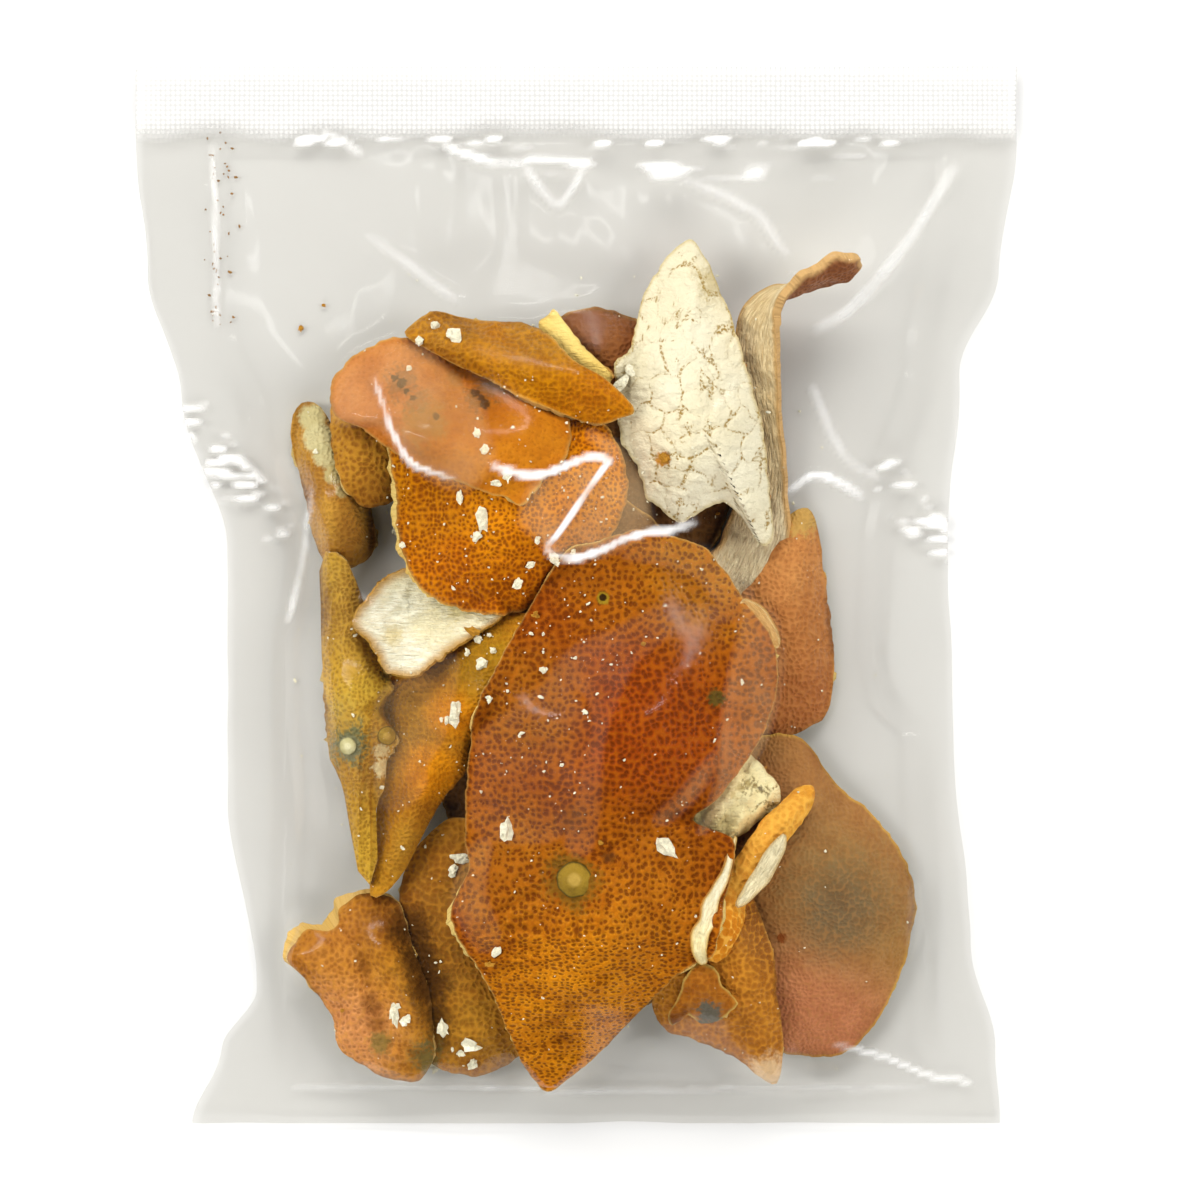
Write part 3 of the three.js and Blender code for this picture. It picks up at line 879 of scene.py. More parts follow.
# name, finish above, finish below, and the shape: a leaf has an outline, a ribbon has a path
heap = [
    ("hiddenPeelUpper", "hidden", "rimPith", {
        "seed": 101, "centre": (8, 22), "step": 0.7, "dome": 10, "follow": 0.2,
        "outline": [(-18, 22), (-8, 36), (10, 42), (24, 34), (27, 18), (20, 4), (4, 2), (-12, 8)]}),
    ("hiddenPeelMiddle", "hidden", "rimPith", {
        "seed": 102, "centre": (-2, -26), "step": 0.7, "dome": 13, "follow": 0.2,
        "outline": [(-24, -30), (-20, -12), (-4, -4), (14, -8), (22, -24), (16, -44), (0, -52),
                    (-18, -46)]}),
    ("hiddenPeelLower", "hidden", "rimPith", {
        "seed": 103, "centre": (8, -58), "step": 0.7, "dome": 12, "follow": 0.2,
        "outline": [(-10, -60), (-4, -46), (12, -42), (24, -50), (22, -64), (8, -72), (-4, -72)]}),
    ("hiddenPeelInner", "hidden", "rimPith", {
        "seed": 124, "centre": (2, -14), "step": 0.7, "dome": 10, "follow": 0.4,
        "outline": [(-18, -22), (-22, -2), (-14, 14), (0, 20), (16, 10), (22, -10), (18, -34), (2, -42),
                    (-14, -36)]}),
    ("darkPeel", "darkRed", "rimPith", {
        "seed": 104, "centre": (7, 42.5), "dome": 6, "follow": 0.3,
        "outline": [(-3, 47.6), (2.9, 49.3), (7, 48.6), (11, 46.9), (16, 42), (14, 36), (6, 33), (0, 38),
                    (-3, 43)]}),
    ("rightPeel", "rightPeel", "rimPith", {
        "seed": 105, "centre": (35, -5), "dome": 7, "waves": 0.8, "bends": [(0, 2.5, 10)],
        "outline": [(38.1, 14.8), (41.1, 13.6), (43.0, 2), (44.4, -11), (43.2, -20.4), (38, -23.8),
                    (30, -26), (24, -18), (24, -4), (29, 6), (34, 11)]}),
    ("roundPeel", "roundPeel", "rimPith", {
        "seed": 106, "centre": (40, -52), "dome": 9, "waves": 1.2, "rim": 0.1, "rims": [(0, 1, 0.4)],
        "outline": [(24, -27), (30, -24.5), (36.7, -23.8), (40.5, -26.4), (42.7, -29.8), (46.4, -34),
                    (50.2, -36.9), (55.3, -43.2), (57.8, -48.8), (58.5, -52.5), (57.8, -57.1),
                    (57, -61.4), (55.8, -65.6), (53.2, -70.7), (49.8, -75.8), (46.8, -78.4), (43, -79.4),
                    (35.2, -78.5), (25, -72), (20, -58), (20, -40)]}),
    ("leftRoll", "leftRoll", "rimPith", {
        "seed": 107, "centre": (-41.5, 17), "dome": 8, "waves": 0.7, "ripple": 0.5,
        "bends": [(0, 2.5, 6)],
        "folds": [([(-43, 16), (-40, 10), (-38, 6)], 2.6, 1.6),
                  ([(-45.8, 31), (-43.6, 25), (-40.4, 17.5)], 1.9, -1.6)],
        "outline": [(-48.6, 31.5), (-45.2, 33.4), (-41.5, 28.5), (-37.6, 22), (-35.6, 16.2), (-34.6, 8.2),
                    (-37.6, 5.1), (-41.8, 4.0), (-45.0, 9.4), (-46.9, 17.9), (-49.0, 26)]}),
    ("leftDotted", "leftDotted", "rimPith", {
        "seed": 108, "centre": (-35.5, 25), "dome": 5, "waves": 0.7, "rim": 0.1,
        "outline": [(-41, 35), (-33, 34), (-27, 30), (-27, 20), (-32, 15.8), (-36.6, 15.2), (-40.3, 20),
                    (-42, 28)]}),
    ("cornerBack", "corner", "rimPith", {
        "seed": 125, "centre": (-19, -62), "step": 0.6, "dome": 6, "follow": 0.4, "waves": 1.1,
        "ripple": 0.5, "wrinkles": [(-18, -70, 10, 20, 1.6, 0.5)],
        "folds": [([(-22, -77), (-12, -75)], 3.0, 1.6)],
        "outline": [(-29, -46), (-21.4, -38.2), (-12, -42), (-6, -58), (-7, -74), (-9.7, -79.1),
                    (-15.8, -82.5), (-19, -82.5), (-25, -80), (-29, -70), (-30.5, -57)]}),
    ("cornerPeel", "corner", "lobePith", {
        "seed": 110, "centre": (-34.5, -67), "step": 0.5, "dome": 5, "thick": 2.2, "edgeThin": 0.7,
        "follow": 0.3, "waves": 1.0, "ripple": 0.5, "pebble": 0.12, "rim": 0.15, "rims": [(132, 4, 3.0)],
        "wrinkles": [(-31, -66, 8, 35, 1.5, 0.6), (-30, -78, 6, -10, 1.4, 0.7)],
        "folds": [([(-36, -55), (-33, -60), (-29.6, -64), (-28, -69), (-27, -75)], 2.9, 5.0),
                  ([(-37, -60), (-35, -68), (-33, -76)], 1.8, -1.1),
                  ([(-33.5, -77), (-30, -81.5)], 1.8, 1.4)],
        "outline": [(-49.5, -61.4), (-47.9, -59.2), (-46.1, -57.3), (-42.7, -57.6), (-40.6, -56.4),
                    (-40.5, -53.9), (-36.4, -51), (-30.5, -52.7), (-28, -60), (-25.6, -66), (-24.6, -72),
                    (-24.4, -79), (-27, -83.4), (-33.2, -82.5), (-38.4, -79.4), (-41, -77.4),
                    (-41.7, -72.8), (-45.7, -66.8), (-49, -63.2)]}),
    ("leftFold", "leftFold", "rimPith", {
        "seed": 111, "centre": (-23, -22), "dome": 7, "follow": 0.7, "waves": 1.0,
        "folds": [([(-19, -14), (-21, -28), (-31, -45)], 4.0, 2.2)],
        "outline": [(-34, -14), (-28, -6), (-16, -3), (-6, -4), (-8, -14), (-16.6, -23.5), (-19, -30.3),
                    (-21.9, -33.8), (-24.7, -38.3), (-27.7, -44.2), (-29.6, -47.6), (-33, -51.2),
                    (-35.4, -50.4), (-34.2, -38), (-33.6, -26)]}),
    ("leftFlap", "leftFlap", "rimPith", {
        "seed": 112, "centre": (-38.2, -20), "dome": 7, "follow": 0.7, "waves": 0.8, "ripple": 0.45,
        "pebble": 0.1, "tear": 0.5, "rim": 0.3, "bends": [(0, 2.2, 6)],
        "wrinkles": [(-35, -30, 8, 82, 1.3, 0.7), (-36, -8, 9, 95, 2.0, 0.4)],
        "outline": [(-43.7, 7), (-39.3, 6), (-36, -2), (-34.4, -6), (-33, -11.9), (-31.3, -15.5),
                    (-33, -19.2), (-31.4, -22.6), (-30.6, -25), (-32.2, -28.2), (-32.6, -33.2),
                    (-34, -35.5), (-34.3, -38.9), (-33.7, -44.2), (-35.2, -49.5), (-36.4, -50.6),
                    (-37.9, -44.2), (-38.9, -38.9), (-40, -32.8), (-42, -28.6), (-42.7, -23.5),
                    (-43.6, -12.9), (-43.9, -0.9)]}),
    ("pithShard", "greyPith", "tipPeel", {
        "seed": 114, "centre": (27, -35), "step": 0.38, "dome": 5, "follow": 0.4, "waves": 1.4,
        "ripple": 0.9, "pebble": 0.2, "plates": (3.6, 0.9), "wrinkles": [(29, -34, 9, 60, 1.8, 2.0)],
        "folds": [([(30, -29), (29, -33), (25, -36)], 1.1, 1.4),
                  ([(33, -33), (29, -36.5), (26, -39)], 1.0, -1.0)],
        "outline": [(29.1, -26.4), (31.6, -28.9), (34.5, -32.6), (34.7, -35.3), (31.6, -38.1),
                    (27.7, -41.1), (22.3, -42), (16, -38), (18, -28), (25, -25)]}),
    ("tipPeel", "tipPeel", "rimPith", {
        "seed": 115, "centre": (26, -68), "dome": 6, "follow": 0.5, "waves": 1.0, "ripple": 0.5,
        "wrinkles": [(25, -74, 8, -25, 1.5, 0.6)],
        "folds": [([(26, -56), (32.5, -70), (34.4, -80)], 2.6, 1.6),
                  ([(18, -67), (24, -74), (28, -78)], 1.2, -1.2)],
        "outline": [(28.7, -50.7), (31.2, -54), (33.7, -61.4), (34.3, -67.8), (35.2, -74.1),
                    (35.3, -79.6), (34.2, -83.6), (31.1, -82.4), (29.1, -80.4), (25.7, -78.4),
                    (19.4, -75.8), (15.5, -74.5), (13.8, -71.9), (12.9, -69.5), (14, -60), (20, -52)]}),
    ("curledStrip", "stripPith", "curled", {
        "seed": 201, "step": 0.42, "thick": 2.1, "ripple": 0.8, "taper": 5, "tear": 0.3, "rimWidth": 1.1,
        "path": [(26.6, 0.6, 2.0, 4.5, 0, 40), (29.2, 5.0, 2.2, 6.1, 2, 50), (31.6, 12, 3.2, 5.0, 8, 40),
                 (32.7, 22, 4.6, 3.3, 16, 30), (31.9, 32, 6.0, 3.1, 22, 20), (30.6, 40, 7.2, 3.9, 26, 20),
                 (31.0, 46.5, 8.2, 4.1, 40, 20), (34.2, 51.5, 9.5, 4.2, 72, 15),
                 (40.6, 54.6, 10.4, 4.2, 112, 15), (48.2, 57.6, 11.0, 3.9, 126, 15)]}),
    ("rolledStrip", "rolled", "greyPith", {
        "seed": 202, "step": 0.35, "thick": 1.3, "ripple": 0.5, "taper": 2.5, "rimWidth": 0.4,
        "path": [(40.4, -32.6, 4.6, 3.6, 0, -200), (36.8, -37.0, 5.0, 4.8, 0, -215),
                 (33.0, -41.3, 5.0, 5.2, 0, -210), (29.8, -46.0, 4.8, 5.2, 0, -200),
                 (27.0, -50.4, 4.4, 4.8, 0, -190), (25.2, -55.4, 3.6, 4.2, 0, -170),
                 (23.2, -62.0, 2.2, 3.0, 0, -130)]}),
    ("rolledLining", "liningPith", "liningPith", {
        "seed": 203, "step": 0.4, "thick": 1.0, "ripple": 0.5, "taper": 3, "tear": 0.3,
        "path": [(35.4, -40.6, 1.8, 0.8, 0, 20), (33.0, -45.0, 2.2, 1.6, -10, 20),
                 (30.4, -49.2, 2.2, 1.5, -10, 20), (27.4, -52.6, 1.6, 0.7, 0, 20)]}),
    ("scarredBit", "scarred", "lobePith", {
        "seed": 116, "centre": (21.6, -67.6), "step": 0.38, "dome": 2.2, "thick": 1.6, "follow": 0.8,
        "waves": 0.5, "tear": 0.3, "rim": 0.3, "rimWidth": 0.5,
        "folds": [([(19.5, -64.5), (25, -68)], 1.6, 1.0), ([(18.6, -65), (18.4, -71)], 0.8, -0.6)],
        "outline": [(20.4, -62.4), (23.6, -63.2), (24.8, -66.1), (27.4, -69), (25.4, -71.4),
                    (23.6, -72.6), (21.1, -72.8), (18.8, -71.2), (17.6, -72.8), (16.2, -73.4),
                    (15.8, -71.2), (17.2, -68.7), (18.3, -65.4)]}),
    ("pithBowl", "bowlPith", "leftFlap", {
        "seed": 117, "centre": (-26, -4.5), "step": 0.4, "dome": -3.2, "thick": 2.0, "edgeThin": 0.2,
        "follow": 0.5, "waves": 0.7, "ripple": 0.8, "pebble": 0.12, "tear": 0.6, "rim": -0.2,
        "rimWidth": 2.0, "wrinkles": [(-24, -5, 8, 20, 1.8, 1.0), (-31, -3, 6, 60, 1.5, 0.7)],
        "outline": [(-37.9, -4.6), (-37.2, -3.0), (-34.6, 0.4), (-31.4, 3.6), (-24, 4.4), (-16, 3.4),
                    (-12.5, -3.0), (-17, -6.5), (-21.6, -9.4), (-26.4, -13.2), (-28.4, -13.8),
                    (-31.2, -13.4), (-32.4, -12.6), (-34.0, -9.6), (-35.6, -7.4)]}),
    ("domedPeel", "domed", "yellowPith", {
        "seed": 118, "centre": (-11, 14), "step": 0.5, "dome": 11, "follow": 0.45, "waves": 0.8,
        "pebble": 0.09, "rim": 0.1, "curls": [(185, 6, 1.2)], "rims": [(185, 3, 1.3)],
        "wrinkles": [(-18, 3, 9, -12, 1.3, 0.5), (-4, 3, 6, 30, 1.2, 0.4)],
        "folds": [([(4, 24), (-2, 12), (0, 5)], 3.0, 0.9)],
        "outline": [(-31.7, 25.5), (-30.6, 17), (-30.3, 9.9), (-27.2, 2), (-21.4, -1.9), (-14.1, -3.4),
                    (-8.6, -2.6), (-2.7, 2.0), (4.1, 7.0), (8.2, 14.5), (8.6, 21.3), (4.9, 28.9),
                    (-2.7, 31.5), (-16.3, 33.2), (-26.5, 30.5)]}),
    ("crackedPith", "crackedPith", "rightPeel", {
        "seed": 119, "centre": (20.5, 31), "step": 0.38, "dome": 6, "thick": 1.7, "follow": 0.45,
        "waves": 0.8, "ripple": 0.45, "pebble": 0.1, "tear": 0.5, "rim": -0.3, "rimWidth": 0.9,
        "bends": [(0, 2.2, 12)], "plates": (4.6, 0.5),
        "outline": [(18.8, 60.6), (20.6, 60.2), (22.6, 56.8), (25, 51.3), (27, 46.1), (29.6, 37.1),
                    (31.8, 29.6), (32.6, 22.6), (33.4, 15.1), (33.8, 10.7), (32.8, 8.5), (31, 9),
                    (28.7, 12.8), (25.5, 15.6), (21.8, 14.6), (18, 12.4), (14.8, 14.1), (11.9, 17.2),
                    (10.2, 22.6), (7.6, 26.5), (7, 35.7), (6.2, 39.1), (9, 41.4), (10.2, 46.4),
                    (11.4, 51), (13.9, 55.6), (16, 58.5)]}),
    ("pinkPeel", "smooth", "rimPith", {
        "seed": 120, "centre": (-20, 30), "step": 0.48, "dome": 6, "follow": 0.65, "waves": 1.2,
        "ripple": 0.6, "pebble": 0.05, "tear": 0.5, "rim": 0.1,
        "wrinkles": [(-27, 33, 9, -50, 1.8, 0.8), (-12, 27, 8, -35, 1.6, 0.5)],
        "folds": [([(-31, 42), (-29, 34), (-26, 26)], 2.4, 1.2),
                  ([(-12, 38), (-8, 27), (-9, 18)], 4.0, 1.0)],
        "outline": [(-41.8, 35.9), (-38.4, 40.6), (-32, 43.9), (-26, 43.6), (-18, 41), (-8, 37), (-2, 32),
                    (-0.8, 28), (-1.7, 23.1), (-5.3, 19.6), (-9, 15), (-11.4, 16.2), (-16.5, 17.7),
                    (-24, 20.6), (-30.6, 24), (-36.7, 28.4), (-41.1, 30.4)]}),
    ("yellowShard", "yellowPith", "ridge", {
        "seed": 121, "centre": (-0.2, 41.5), "step": 0.4, "dome": 1.6, "thick": 1.8, "follow": 0.7,
        "lift": 0.5, "waves": 0.4, "tear": 0.5,
        "outline": [(-6.5, 45.9), (-3.7, 48.8), (-1.4, 45.8), (2.4, 41.2), (5.9, 37.6), (4.6, 34.4),
                    (-1, 36), (-5, 41)]}),
    ("ridgePeel", "ridge", "rimPith", {
        "seed": 122, "centre": (-9, 39), "step": 0.45, "dome": 5, "follow": 0.65, "waves": 0.5,
        "ripple": 0.3, "rim": 0.1, "rims": [(-70, 2, 0.5)], "wrinkles": [(-12, 42, 12, -28, 1.6, 0.5)],
        "folds": [([(-26, 45), (-12, 41.5), (0, 37), (8, 32.5)], 3.6, 2.4)],
        "outline": [(-29.2, 44.7), (-24.6, 48.6), (-20, 47.6), (-15.3, 47.0), (-9.2, 46.6), (-4.3, 44.2),
                    (-0.5, 40), (4.9, 36.8), (10.1, 31.4), (7.3, 29.8), (3.6, 28.9), (-0.9, 30.1),
                    (-5.8, 32.1), (-10, 33.8), (-14.1, 36.2), (-19.9, 38.8), (-25.7, 42)]}),
    ("heroPeel", "hero", "yellowPith", {
        "seed": 123, "centre": (6, -36), "step": 0.46, "dome": 10, "thick": 2.2, "follow": 0.55,
        "waves": 1.0, "ripple": 0.35, "pebble": 0.1, "tear": 0.3, "rim": 0.0, "rimWidth": 0.35,
        "curls": [(-25, 10, 1.8)], "rims": [(215, 2, 0.4), (214, 120, 1.3)], "pinch": (-58, 0.7),
        "wrinkles": [(0, -72, 12, 8, 1.5, 0.9), (-11, -60, 7, -10, 1.4, 0.9),
                     (12, -52, 10, 80, 2.2, 0.35)],
        "folds": [([(4, 4), (10, -12), (8, -26)], 5.0, -1.2),
                  ([(-14, -24), (-2, -27), (6, -26)], 3.2, -0.8), ([(0, -51.5), (0.2, -60)], 0.7, -1.0),
                  ([(-6, -50), (-14, -54)], 0.8, -0.7), ([(-17.5, -35), (-11, -36.5)], 0.8, -0.8),
                  ([(-16.5, -38.8), (-10, -38.2)], 0.7, -0.6), ([(4, -44.5), (7, -42)], 0.7, -0.7),
                  ([(24, -38), (20, -50), (14, -62)], 2.4, -1.4), ([(-10, -76), (6, -66)], 1.4, -0.5),
                  ([(-12, -70), (2, -72)], 1.2, 0.4)],
        "outline": [(-2.7, 6.0), (4, 9), (10.9, 11.1), (21.1, 8.5), (25.4, 4), (28.7, -0.9), (33.2, -7.0),
                    (34.4, -12), (34.0, -17.2), (31.3, -24.7), (24.5, -34.0), (20.0, -38.2),
                    (26.2, -41.0), (27.0, -44.4), (25.2, -52), (23.2, -60.6), (19.4, -62.6),
                    (12.6, -69.1), (4.1, -78.2), (-2.4, -83.6), (-5.3, -84.7), (-9.5, -79.3),
                    (-14.6, -67.2), (-20.6, -57.0), (-21.0, -52.7), (-18.4, -46.8), (-18.9, -40),
                    (-17.4, -21.2), (-12.9, -11.1)]}),
    ("lobeRim", "lobePith", "hero", {
        "seed": 204, "step": 0.3, "thick": 0.9, "softBed": 4, "ripple": 1.2, "taper": 1.2, "tear": 1.3,
        "rimWidth": 0.5,
        "path": [(27.2, -41.0, 0.5, 0.4, 5, 20), (25.5, -45.5, 0.7, 0.6, 8, 40),
                 (24.1, -49.5, 0.8, 0.9, 8, 50), (22.4, -53.5, 0.9, 1.4, 8, 50),
                 (21.0, -57.2, 0.9, 1.8, 5, 50), (20.8, -60.0, 0.8, 1.6, 0, 40),
                 (21.6, -62.6, 0.5, 0.8, 0, 20)]}),
    ("heroRimBit", "rimBitPith", "hero", {
        "seed": 206, "step": 0.3, "thick": 0.9, "softBed": 4, "ripple": 0.5, "taper": 1.5, "tear": 0.4,
        "rimWidth": 0.4,
        "path": [(28.2, -1.0, 0.6, 0.9, -10, 30), (30.6, -3.0, 0.9, 1.4, -15, 30),
                 (33.0, -6.0, 0.9, 1.3, -15, 30), (34.2, -9.0, 0.6, 0.7, -10, 30)]}),
]

for name, above, below, look in heap:
    makePiece = makeLeaf if "outline" in look else makeRibbon
    makePiece(name, look, finishes[above], finishes[below])
    print("laid", name, "heap is now", round(float(heapTop.max()), 1), "mm")


# ---- stem buttons

stemLook = {
    "olive": {"wood": (0.38, 0.235, 0.024), "dark": (0.2, 0.115, 0.014), "star": (0.5, 0.32, 0.06),
              "rind": (0.08, 0.055, 0.01)},
    "pale": {"wood": (0.72, 0.66, 0.36), "dark": (0.52, 0.46, 0.2), "star": (0.8, 0.74, 0.44),
             "rind": (0.3, 0.27, 0.12)},
    # name, wood, x, y, radius, height, rise
    "stems": [
        ("heroStem", "olive", -0.2, -47.9, 3.0, 0.8, 0.15),
        ("flapStem", "pale", -38.8, -25.7, 1.5, 0.7, 0.5),
        ("flapKnob", "olive", -32.2, -24.0, 1.6, 0.6, 0.1),
    ],
}


def makeStemMaterial(name, look):
    material, tree, output, position = startMaterial(name)
    edge = markNode(tree, "edge")
    mottle = placeGroup(tree, dryMottle, Position=position, Seed=3.0)
    colour = mixColour(tree, mottle["Small"], look["wood"], look["dark"])
    colour = mixColour(tree, rangeNode(tree, edge, 0.86, 1.0), colour, look["rind"])
    colour = mixColour(tree, rangeNode(tree, edge, 0.25, 0.5, 1.0, 0.0), colour, look["star"])
    addSurface(tree, output, colour, 0.7, 0.5, bumpNode(tree, mottle["Grain"], 0.5, 0.0002))
    return material


stemWoods = {name: makeStemMaterial(name + "StemWood", stemLook[name]) for name in ("olive", "pale")}


def makeStem(name, wood, x, y, radius, height, rise):
    # a small woody disc with a raised collar and a star of five in the middle
    bm = bmesh.new()
    bmesh.ops.create_circle(bm, cap_ends=True, segments=40, radius=1)
    bm.faces.ensure_lookup_table()
    face = bm.faces[0]
    for _ in range(7):
        bmesh.ops.inset_region(bm, faces=[face], thickness=0.12, use_even_offset=False)
    bmesh.ops.poke(bm, faces=[face])
    base = set(bmesh.ops.extrude_face_region(bm, geom=bm.faces[:], use_keep_orig=True)["geom"])
    ground = heapAt(x, y)
    reach = []
    for vert in bm.verts:
        r, a = math.hypot(vert.co.x, vert.co.y), math.atan2(vert.co.y, vert.co.x)
        reach.append(r)
        wobble = 1 + 0.07 * noise.noise((math.cos(a) * 2, math.sin(a) * 2, x))
        collar = math.exp(-(((r - 0.72) / 0.17) ** 2))
        star = math.exp(-((r / 0.36) ** 2)) * (0.6 + 0.4 * math.cos(5 * a))
        lift = height * (0.35 + 0.65 * collar + 0.35 * star) * (1 - r**8)
        px, py = x + radius * r * math.cos(a) * wobble, y + radius * r * math.sin(a) * wobble
        z = 0.3 * ground + 0.7 * heapAt(px, py) + (-0.9 if vert in base else lift + rise)
        vert.co = Vector((px, py, z)) * mm
    bmesh.ops.recalc_face_normals(bm, faces=bm.faces[:])
    mesh = meshFrom(bm, name, stemWoods[wood])
    addMark(mesh, "edge", reach)
    smoothFaces(mesh)
    addPiece(name, mesh)


for stem in stemLook["stems"]:
    makeStem(*stem)
print("stems set")


# ---- crumbs of pith and zest, on top of the peel and under the film

crumbLook = {
    # x, y, size across, stretch
    "pithPlaces": [
        (-24, 46, 1.7, 1.0), (-20.6, 44, 2.6, 1.3), (-26.6, 43.2, 1.6, 1.2), (-28.4, 38.6, 1.1, 1.0),
        (-15.8, 12.8, 2.2, 2.4), (-16.6, 10.0, 1.6, 1.4), (-16.6, -7.5, 1.6, 1.2),
        (-16.0, -11.6, 2.1, 1.2), (-18.4, -9.8, 1.2, 1.2), (-14.6, -6.8, 1.0, 1.0),
        (-14.0, -9.4, 1.3, 1.0), (-20.4, -20.0, 2.4, 2.0), (-21.6, -21.2, 1.5, 1.2),
        (-11.8, -39.6, 2.6, 1.7), (15.2, -42.6, 3.0, 1.6), (-19.8, -45.0, 2.0, 2.4),
        (-21.0, -47.0, 1.9, 1.3), (-13.4, -60.4, 1.7, 1.2), (-31.0, -71.4, 1.7, 2.6),
        (-29.0, -72.4, 2.0, 1.3), (-30.4, -70.0, 1.2, 1.0), (-22.8, -74.0, 2.3, 1.4),
        (-18.0, -76.8, 2.4, 1.6), (-19.8, -78.4, 1.4, 1.2), (-24.2, -81.4, 2.0, 1.2),
        (-17.8, -80.4, 1.6, 1.6), (-7.6, 5.0, 1.6, 1.2), (-3.6, 6.0, 1.8, 1.5), (-0.4, 7.2, 1.3, 1.2),
        (-9.8, 2.0, 1.9, 1.2), (-6.4, 9.2, 1.2, 1.4), (-31.0, 11.2, 1.6, 1.3), (-29.6, 8.6, 1.4, 1.0),
        (-5.4, -12.6, 1.3, 1.0), (-14.6, -17.6, 1.4, 1.0), (7.4, 35.6, 2.2, 2.0), (9.2, 38.2, 1.8, 1.4),
        (-16.6, 27.2, 1.5, 1.2), (-15.2, 24.4, 1.6, 1.1), (-11.4, 20.2, 2.0, 1.3),
        (-13.4, 18.8, 1.3, 1.8), (-19.6, 16.6, 1.3, 2.2), (-44.5, 24.5, 1.0, 1.0), (1.6, -19.6, 0.9, 1.6),
    ],
    "zestPlaces": [
        (-14.6, -62.6, 1.1, 1.6), (4.2, -41.6, 1.0, 1.0), (11.4, -8.2, 0.9, 1.0), (14.9, 23.2, 1.9, 1.5),
        (-6.8, -3.4, 1.3, 1.2), (-17.4, -6.2, 1.9, 1.9), (-47.5, 46, 1.0, 1.4), (-43.5, 50, 0.8, 1.0),
        (24.4, 14.0, 0.8, 1.0), (-40, -71, 0.8, 1.0),
    ],
    "dust": 520, "cornerSpecks": 46,
    "pith": (0.98, 0.93, 0.7), "zest": (0.55, 0.26, 0.03), "speck": (0.38, 0.2, 0.06),
}


def makeCrumbMaterial(name, tint):
    material, tree, output, position = startMaterial(name)
    mottle = placeGroup(tree, dryMottle, Position=position, Seed=1.7)
    colour = mixColour(tree, mottle["Grain"], tint, tuple(0.75 * c for c in tint))
    addSurface(tree, output, colour, 0.8, 0.5, bumpNode(tree, mottle["Grain"], 0.6, 0.0002))
    return material


def makeCrumbs(name, places, material, dice, subdivisions):
    # each crumb is a small ball knocked out of round, half sunk to where it lies
    bm = bmesh.new()
    for x, y, size, stretch in places:
        ball = bmesh.ops.create_icosphere(bm, subdivisions=subdivisions, radius=0.5)["verts"]
        turn = dice.uniform(0, math.pi)
        flat = dice.uniform(0.3, 0.55)
        ground = heapAt(x, y)
        lean = Matrix.Rotation(dice.uniform(-0.4, 0.4), 3, "X")
        for vert in ball:
            knock = 1 + 1.0 * noise.noise(vert.co * 4.2 + Vector((x, y, size)))
            body = lean @ Vector((vert.co.x * stretch, vert.co.y, vert.co.z * flat)) * knock * size * 0.8
            spun = Vector((body.x * math.cos(turn) - body.y * math.sin(turn),
                           body.x * math.sin(turn) + body.y * math.cos(turn), body.z))
            vert.co = (spun + Vector((x, y, ground + 0.26 * size))) * mm
        addToHeap(np.array([x]), np.array([y]), np.array([ground + 0.5 * size * flat + 0.1]))
    addPiece(name, meshFrom(bm, name, material))


dice = np.random.default_rng(5)
dustPlaces = []
while len(dustPlaces) < crumbLook["dust"]:
    x, y = dice.normal(-6, 24), dice.normal(-14, 38)
    if -50 < x < 58 and -84 < y < 58:
        dustPlaces.append((x, y, min(float(dice.gamma(1.6, 0.13)) + 0.12, 0.8), dice.uniform(1, 1.8)))
cornerPlaces = [(-62.6 + dice.normal(0, 0.9) + 3.5 * dice.uniform() ** 3, dice.uniform(46, 80),
                 dice.uniform(0.25, 0.65), dice.uniform(1, 1.8)) for _ in range(crumbLook["cornerSpecks"])]
pithCrumb, zestCrumb, speckCrumb = (makeCrumbMaterial(name + "Crumb", crumbLook[name])
                                    for name in ("pith", "zest", "speck"))
makeCrumbs("pithCrumbs", crumbLook["pithPlaces"], pithCrumb, dice, 2)
makeCrumbs("zestCrumbs", crumbLook["zestPlaces"], zestCrumb, dice, 2)
makeCrumbs("pithDust", dustPlaces, pithCrumb, dice, 1)
makeCrumbs("cornerSpecks", cornerPlaces, speckCrumb, dice, 1)
print("crumbs scattered")


# ---- the film

